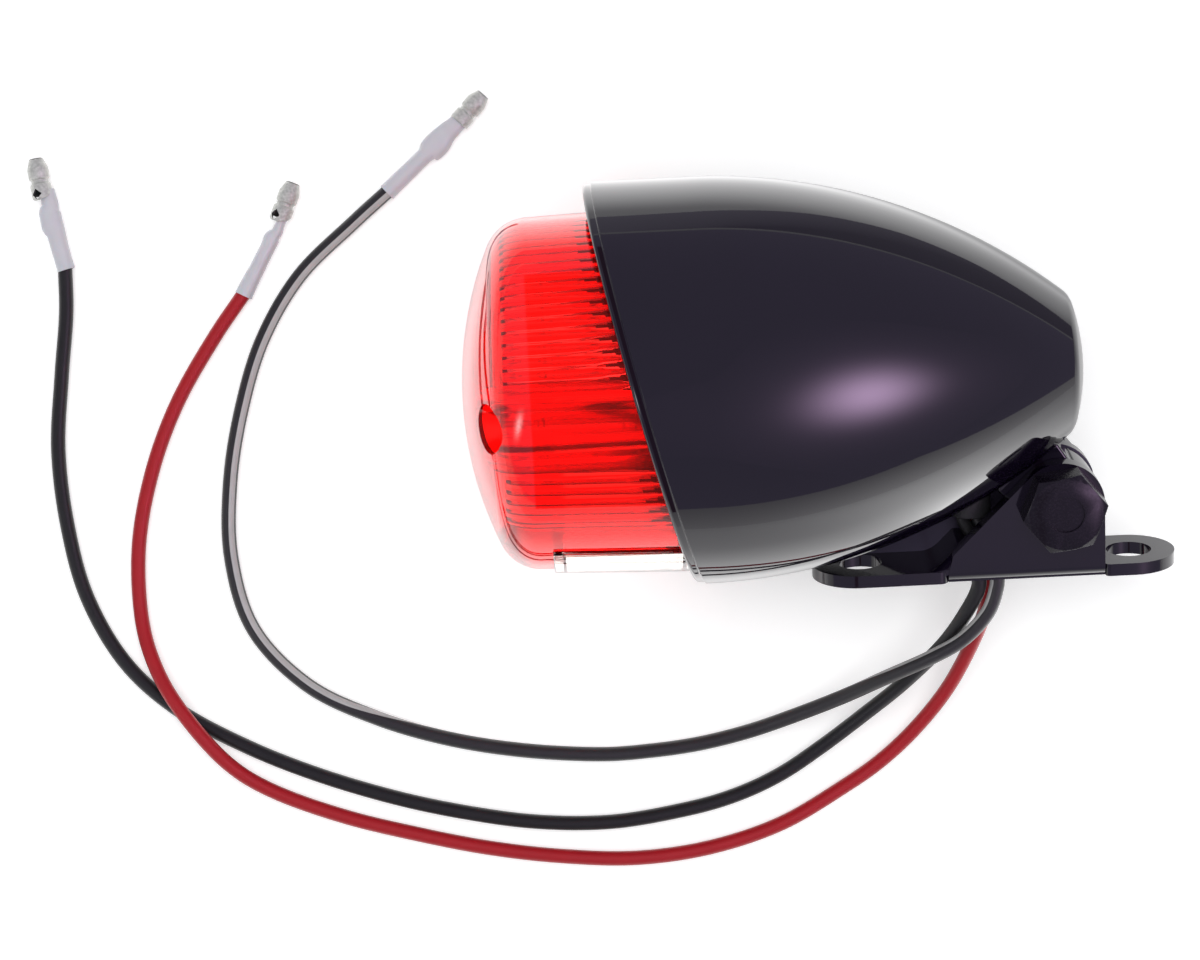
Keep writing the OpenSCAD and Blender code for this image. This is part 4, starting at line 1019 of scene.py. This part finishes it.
def make_leads():
    for k, (label, finish, bore) in enumerate(leads):
        a = math.radians((150, 30, 270)[k])
        u, v = LEAD_PITCH_R * math.cos(a), LEAD_PITCH_R * math.sin(a)
        knots = [(SOCKET_END, u, v), (50, u, v), (54.5 + 0.8 * u, -2.5 + 0.6 * u, v),
                 (OUTLET_X + u, -9, v), (OUTLET_X + u, -17, v), (OUTLET_X + u, OUTLET_Y, v)]
        size = (lambda share: (LEAD_R, LEAD_R))
        inner = tube("inner_lead_" + label, curve([Vector(p) for p in knots], 60), size, 16,
                     finish)
        place(inner)
        rides(inner, "lamp_head", "pvc_leads", "inner_leads")
        knots = [(OUTLET_X + u, OUTLET_Y + 0.6, v), (OUTLET_X + u, OUTLET_Y - 1, v),
                 (bore[0] + (OUTLET_X + u - bore[0]) * 0.4, -30.6, bore[1] * 0.7 + v * 0.3),
                 (bore[0], GROMMET_TOP + 1, bore[1]), (bore[0], GROMMET_TOP - 0.1, bore[1])]
        slack = tube("slack_lead_" + label, curve([Vector(p) for p in knots], 40), size, 16,
                     finish, lambda share: math.radians(150))
        place(slack)
        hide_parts("joint_leads")
        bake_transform(slack)


make_spring()
make_leads()

# ---- CAD nodes that keep their own shape ----
for node, finish in (("reflector", bright_sheet), ("bulb_socket", plated),
                     ("socket_rivets", zinc), ("contact_carrier", laminate),
                     ("contact_pins", brass), ("bulb_base", brass), ("bulb_glass", bulb_clear),
                     ("bulb_stem", bulb_clear), ("bulb_filaments", tungsten),
                     ("lens_screws", zinc)):
    nodes[node].data.materials.clear()
    nodes[node].data.materials.append(finish)
for node in ("bulb_glass", "bulb_stem"):
    nodes[node].visible_shadow = False


# ---- Studio: a pale floor, a plain sky, and cards that only the light and gloss see ----
def card(name, points, material):
    obj = made(name, points, [tuple(range(len(points)))], material)
    return obj


def glow(name, colour, strength):
    mat = bpy.data.materials.new(name)
    mat.use_nodes = True
    tree = mat.node_tree
    tree.nodes.clear()
    out = tree.nodes.new("ShaderNodeOutputMaterial")
    emit = tree.nodes.new("ShaderNodeEmission")
    emit.inputs["Color"].default_value = colour
    emit.inputs["Strength"].default_value = strength
    tree.links.new(emit.outputs[0], out.inputs["Surface"])
    return mat, tree, emit


def maths(tree, operation, *values):
    node = tree.nodes.new("ShaderNodeMath")
    node.operation = operation
    for socket, value in zip(node.inputs, values):
        if isinstance(value, bpy.types.NodeSocket):
            tree.links.new(value, socket)
        else:
            socket.default_value = value
    return node.outputs[0]


def place_of(tree):
    """The place on a stage piece, as its x, y and z in metres."""
    where = tree.nodes.new("ShaderNodeTexCoord")
    split = tree.nodes.new("ShaderNodeSeparateXYZ")
    tree.links.new(where.outputs["Object"], split.inputs["Vector"])
    return split.outputs["X"], split.outputs["Y"], split.outputs["Z"]


# A bright fan over the paper towards the front right: where it starts, its bearing and width,
# and how bright it is at its start and a metre out
FAN_AT, FAN_TO, FAN_WIDTH, FAN_NEAR, FAN_FAR = (0.03, -0.03), -53, 24, 2.7, 1.25


def fan(tree, x, y):
    dx, dy = (maths(tree, "SUBTRACT", v, at) for v, at in zip((x, y), FAN_AT))
    turn = maths(tree, "SUBTRACT", maths(tree, "ARCTAN2", dy, dx), math.radians(FAN_TO))
    turn = maths(tree, "DIVIDE", turn, math.radians(FAN_WIDTH))
    shape = maths(tree, "EXPONENT", maths(tree, "MULTIPLY", maths(
        tree, "MULTIPLY", turn, turn), -1))
    out = maths(tree, "SQRT", maths(tree, "ADD", maths(tree, "MULTIPLY", dx, dx),
                                    maths(tree, "MULTIPLY", dy, dy)))
    fade = maths(tree, "ADD", maths(tree, "MULTIPLY", out, FAN_NEAR / FAN_FAR - 1), 1)
    return maths(tree, "DIVIDE", maths(tree, "MULTIPLY", shape, FAN_NEAR), fade)


FLOOR_HALF, FLOOR_GLOW = 4.0, 0.38
# As gloss shows it, the paper is brightest in a ring round the lamp, more so behind the lamp.
# The ring is measured in steps of the rounded rectangle that the lamp covers.
POOL, POOL_GLOW, POOL_DIM, THROUGH_GLOW = (0.073, 0.045), 1.05, -0.4, 0.35
POOL_FRONT, FRONT_GLOW = 0.45, 0.45
floor_mat, tree, bsdf = principled("floor_white")
bsdf.inputs["Base Color"].default_value = (0.82, 0.82, 0.82, 1)
bsdf.inputs["Roughness"].default_value = 0.9
bsdf.inputs["Specular IOR Level"].default_value = 0.1
bsdf.inputs["Emission Color"].default_value = (1, 1, 1, 1)
x, y, _ = place_of(tree)
away = maths(tree, "POWER", maths(tree, "ADD", *(
    maths(tree, "POWER", maths(tree, "ABSOLUTE", maths(tree, "DIVIDE", v, half)), 4)
    for v, half in zip((x, y), POOL))), 0.25)
rise = spread(tree, away, POOL_DIM, POOL_GLOW, 0.84, 1.2)
fall = spread(tree, away, 1, 0, 1.9, 4)
behind = maths(tree, "MULTIPLY", spread(tree, y, POOL_FRONT, 1, -0.04, 0.04),
               spread(tree, x, 1, 0.6, 0.02, 0.09))
front = spread(tree, y, FRONT_GLOW, 0, -0.06, 0)
for ramp in (rise, fall, front):
    ramp.node.interpolation_type = "SMOOTHSTEP"
ring = maths(tree, "MULTIPLY", maths(tree, "MULTIPLY", rise, fall), behind)
outside = spread(tree, away, 0, 1, 0.84, 1.2)
patch = maths(tree, "MULTIPLY", outside, maths(tree, "ADD", front, fan(tree, x, y)))
rays = tree.nodes.new("ShaderNodeLightPath").outputs
through = rays["Is Transmission Ray"]
gloss = maths(tree, "MULTIPLY", rays["Is Glossy Ray"], maths(tree, "SUBTRACT", 1.0, through))
seen = maths(tree, "MAXIMUM", rays["Is Camera Ray"], maths(tree, "MAXIMUM", gloss, through))
total = maths(tree, "MULTIPLY", seen, FLOOR_GLOW)
total = maths(tree, "ADD", total, maths(tree, "MULTIPLY", gloss, maths(
    tree, "ADD", ring, patch)))
total = maths(tree, "ADD", total, maths(tree, "MULTIPLY", through, THROUGH_GLOW))
tree.links.new(total, bsdf.inputs["Emission Strength"])
card("floor", [(-FLOOR_HALF, -FLOOR_HALF, 0), (FLOOR_HALF, -FLOOR_HALF, 0),
               (FLOOR_HALF, FLOOR_HALF, 0), (-FLOOR_HALF, FLOOR_HALF, 0)], floor_mat)

# The dark end of the table, which only gloss sees: its near edge from left to right
FLAG_FAR, FLAG_LIFT, FLAG_LEFT, FLAG_RIGHT = 1.6, 0.0004, 0.62, 0.32
flag_edge = [(-1.6, 0.25), (-0.03, 0.225), (0.012, 0.2), (0.04, 0.165), (0.075, 0.135),
             (0.12, 0.125), (0.19, 0.125), (0.45, 0.13), (1.6, 0.1)]
flag_mat, tree, emit = glow("dim", (0.97, 0.93, 1.1, 1), 1.0)
tree.links.new(spread(tree, place_of(tree)[0], FLAG_LEFT, FLAG_RIGHT, -0.05, 0.15),
               emit.inputs["Strength"])
flag = card("table_end", [(x, y, FLAG_LIFT) for x, y in flag_edge]
            + [(1.6, FLAG_FAR, FLAG_LIFT), (-1.6, FLAG_FAR, FLAG_LIFT)], flag_mat)
flag.visible_camera = flag.visible_diffuse = flag.visible_shadow = False
flag.visible_transmission = False

# A darker arch over the lens, which only the lens mirrors
ARCH_R, ARCH_X = 0.9, (-0.16, -0.046)
around = [math.radians(a) for a in range(12, 169, 6)]
arch = made("ceiling", [(x, ARCH_R * math.cos(a), ARCH_R * math.sin(a)) for x in ARCH_X
                        for a in around],
            [(i, i + 1, len(around) + i + 1, len(around) + i) for i in range(len(around) - 1)],
            glow("dusk", (0.17, 0.1, 0.1, 1), 1.0)[0])
arch.visible_camera = arch.visible_diffuse = arch.visible_shadow = False
arch.visible_transmission = False

# A low white backdrop round the front, up to 15 degrees above the floor, lower at its right
BACK_R, BACK_TOP = 1.3, 14.8
around = range(-215, 0, 5)
tops = [BACK_TOP if a < -50 else BACK_TOP * -a / 50 for a in around]
BACK_LIFT = BACK_R * math.tan(math.radians(BACK_TOP))
points = [(BACK_R * math.cos(math.radians(a)), BACK_R * math.sin(math.radians(a)), z)
          for level in (0, 1) for a, top in zip(around, tops)
          for z in (level * BACK_R * math.tan(math.radians(top)),)]
half = len(around)
paper, tree, emit = glow("white_paper", (1, 0.99, 1, 1), 1)
x, y, z = place_of(tree)
shine = maths(tree, "MULTIPLY", fan(tree, x, y), spread(tree, z, 1, 0.1, 0, BACK_LIFT))
tree.links.new(maths(tree, "ADD", shine, spread(tree, z, 1.2, 0.85, 0, BACK_LIFT)),
               emit.inputs["Strength"])
backdrop = made("low_backdrop", points,
                [(i, i + 1, half + i + 1, half + i) for i in range(half - 1)], paper)
backdrop.visible_camera = backdrop.visible_shadow = backdrop.visible_diffuse = False


SKY = (0.44, 0.41, 0.55, 1)


def softbox(name, place_at, width, height, peak, core=4.5, halo=0.0, aim=(0.02, 0, 0.06)):
    """A soft panel that faces the lamp: the peak colour in its middle, the sky's at its rim.
    core is how fast it falls off, and halo the share that falls off at a fifth of that."""
    mat, tree, emit = glow(name, SKY, 1)
    where = tree.nodes.new("ShaderNodeTexCoord")
    scale = tree.nodes.new("ShaderNodeMapping")
    scale.inputs["Scale"].default_value = (2 / width, 2 / height, 1)
    far = tree.nodes.new("ShaderNodeVectorMath")
    far.operation = "LENGTH"
    tree.links.new(where.outputs["Object"], scale.inputs["Vector"])
    tree.links.new(scale.outputs["Vector"], far.inputs[0])
    square = maths(tree, "POWER", far.outputs["Value"], 2)
    rise, wide = (maths(tree, "EXPONENT", maths(tree, "MULTIPLY", square, -rate))
                  for rate in (core, core / 5))
    rise = maths(tree, "ADD", maths(tree, "MULTIPLY", rise, 1 - halo),
                 maths(tree, "MULTIPLY", wide, halo))
    colour = tree.nodes.new("ShaderNodeMix")
    colour.data_type = "RGBA"
    colour.clamp_result = False
    colour.inputs[6].default_value, colour.inputs[7].default_value = SKY, peak
    tree.links.new(rise, colour.inputs["Factor"])
    tree.links.new(colour.outputs[2], emit.inputs["Color"])
    w, h = width / 2, height / 2
    panel = card(name, [(-w, -h, 0), (w, -h, 0), (w, h, 0), (-w, h, 0)], mat)
    toward = Vector(aim) - Vector(place_at)
    panel.rotation_euler = toward.to_track_quat("-Z", "Y").to_euler()
    panel.location = place_at
    panel.visible_camera = panel.visible_shadow = panel.visible_diffuse = False
    return panel


softbox("key_panel", (0.51, -0.21, 0.74), 1.5, 1.24, (9.3, 6.4, 10, 1), 14.6, 0.07)
softbox("side_panel", (-0.62, -0.3, 0.72), 0.3, 0.7, (9, 9, 9, 1))

fill = bpy.data.objects.new("overhead", bpy.data.lights.new("overhead", "AREA"))
scene.collection.objects.link(fill)
fill.data.shape, fill.data.size = "DISK", 1.2
fill.data.energy = 15
fill.location = (0, 0.1, 1.6)
fill.visible_glossy = fill.visible_camera = False

world = bpy.data.worlds.new("studio")
scene.world = world
world.use_nodes = True
tree = world.node_tree
sky = tree.nodes["Background"]
rays = tree.nodes.new("ShaderNodeLightPath").outputs
mirrored = mixed(tree, rays["Is Glossy Ray"], (0.46, 0.46, 0.47, 1), SKY)
tree.links.new(mixed(tree, rays["Is Camera Ray"], mirrored, (1, 1, 1, 1)), sky.inputs["Color"])
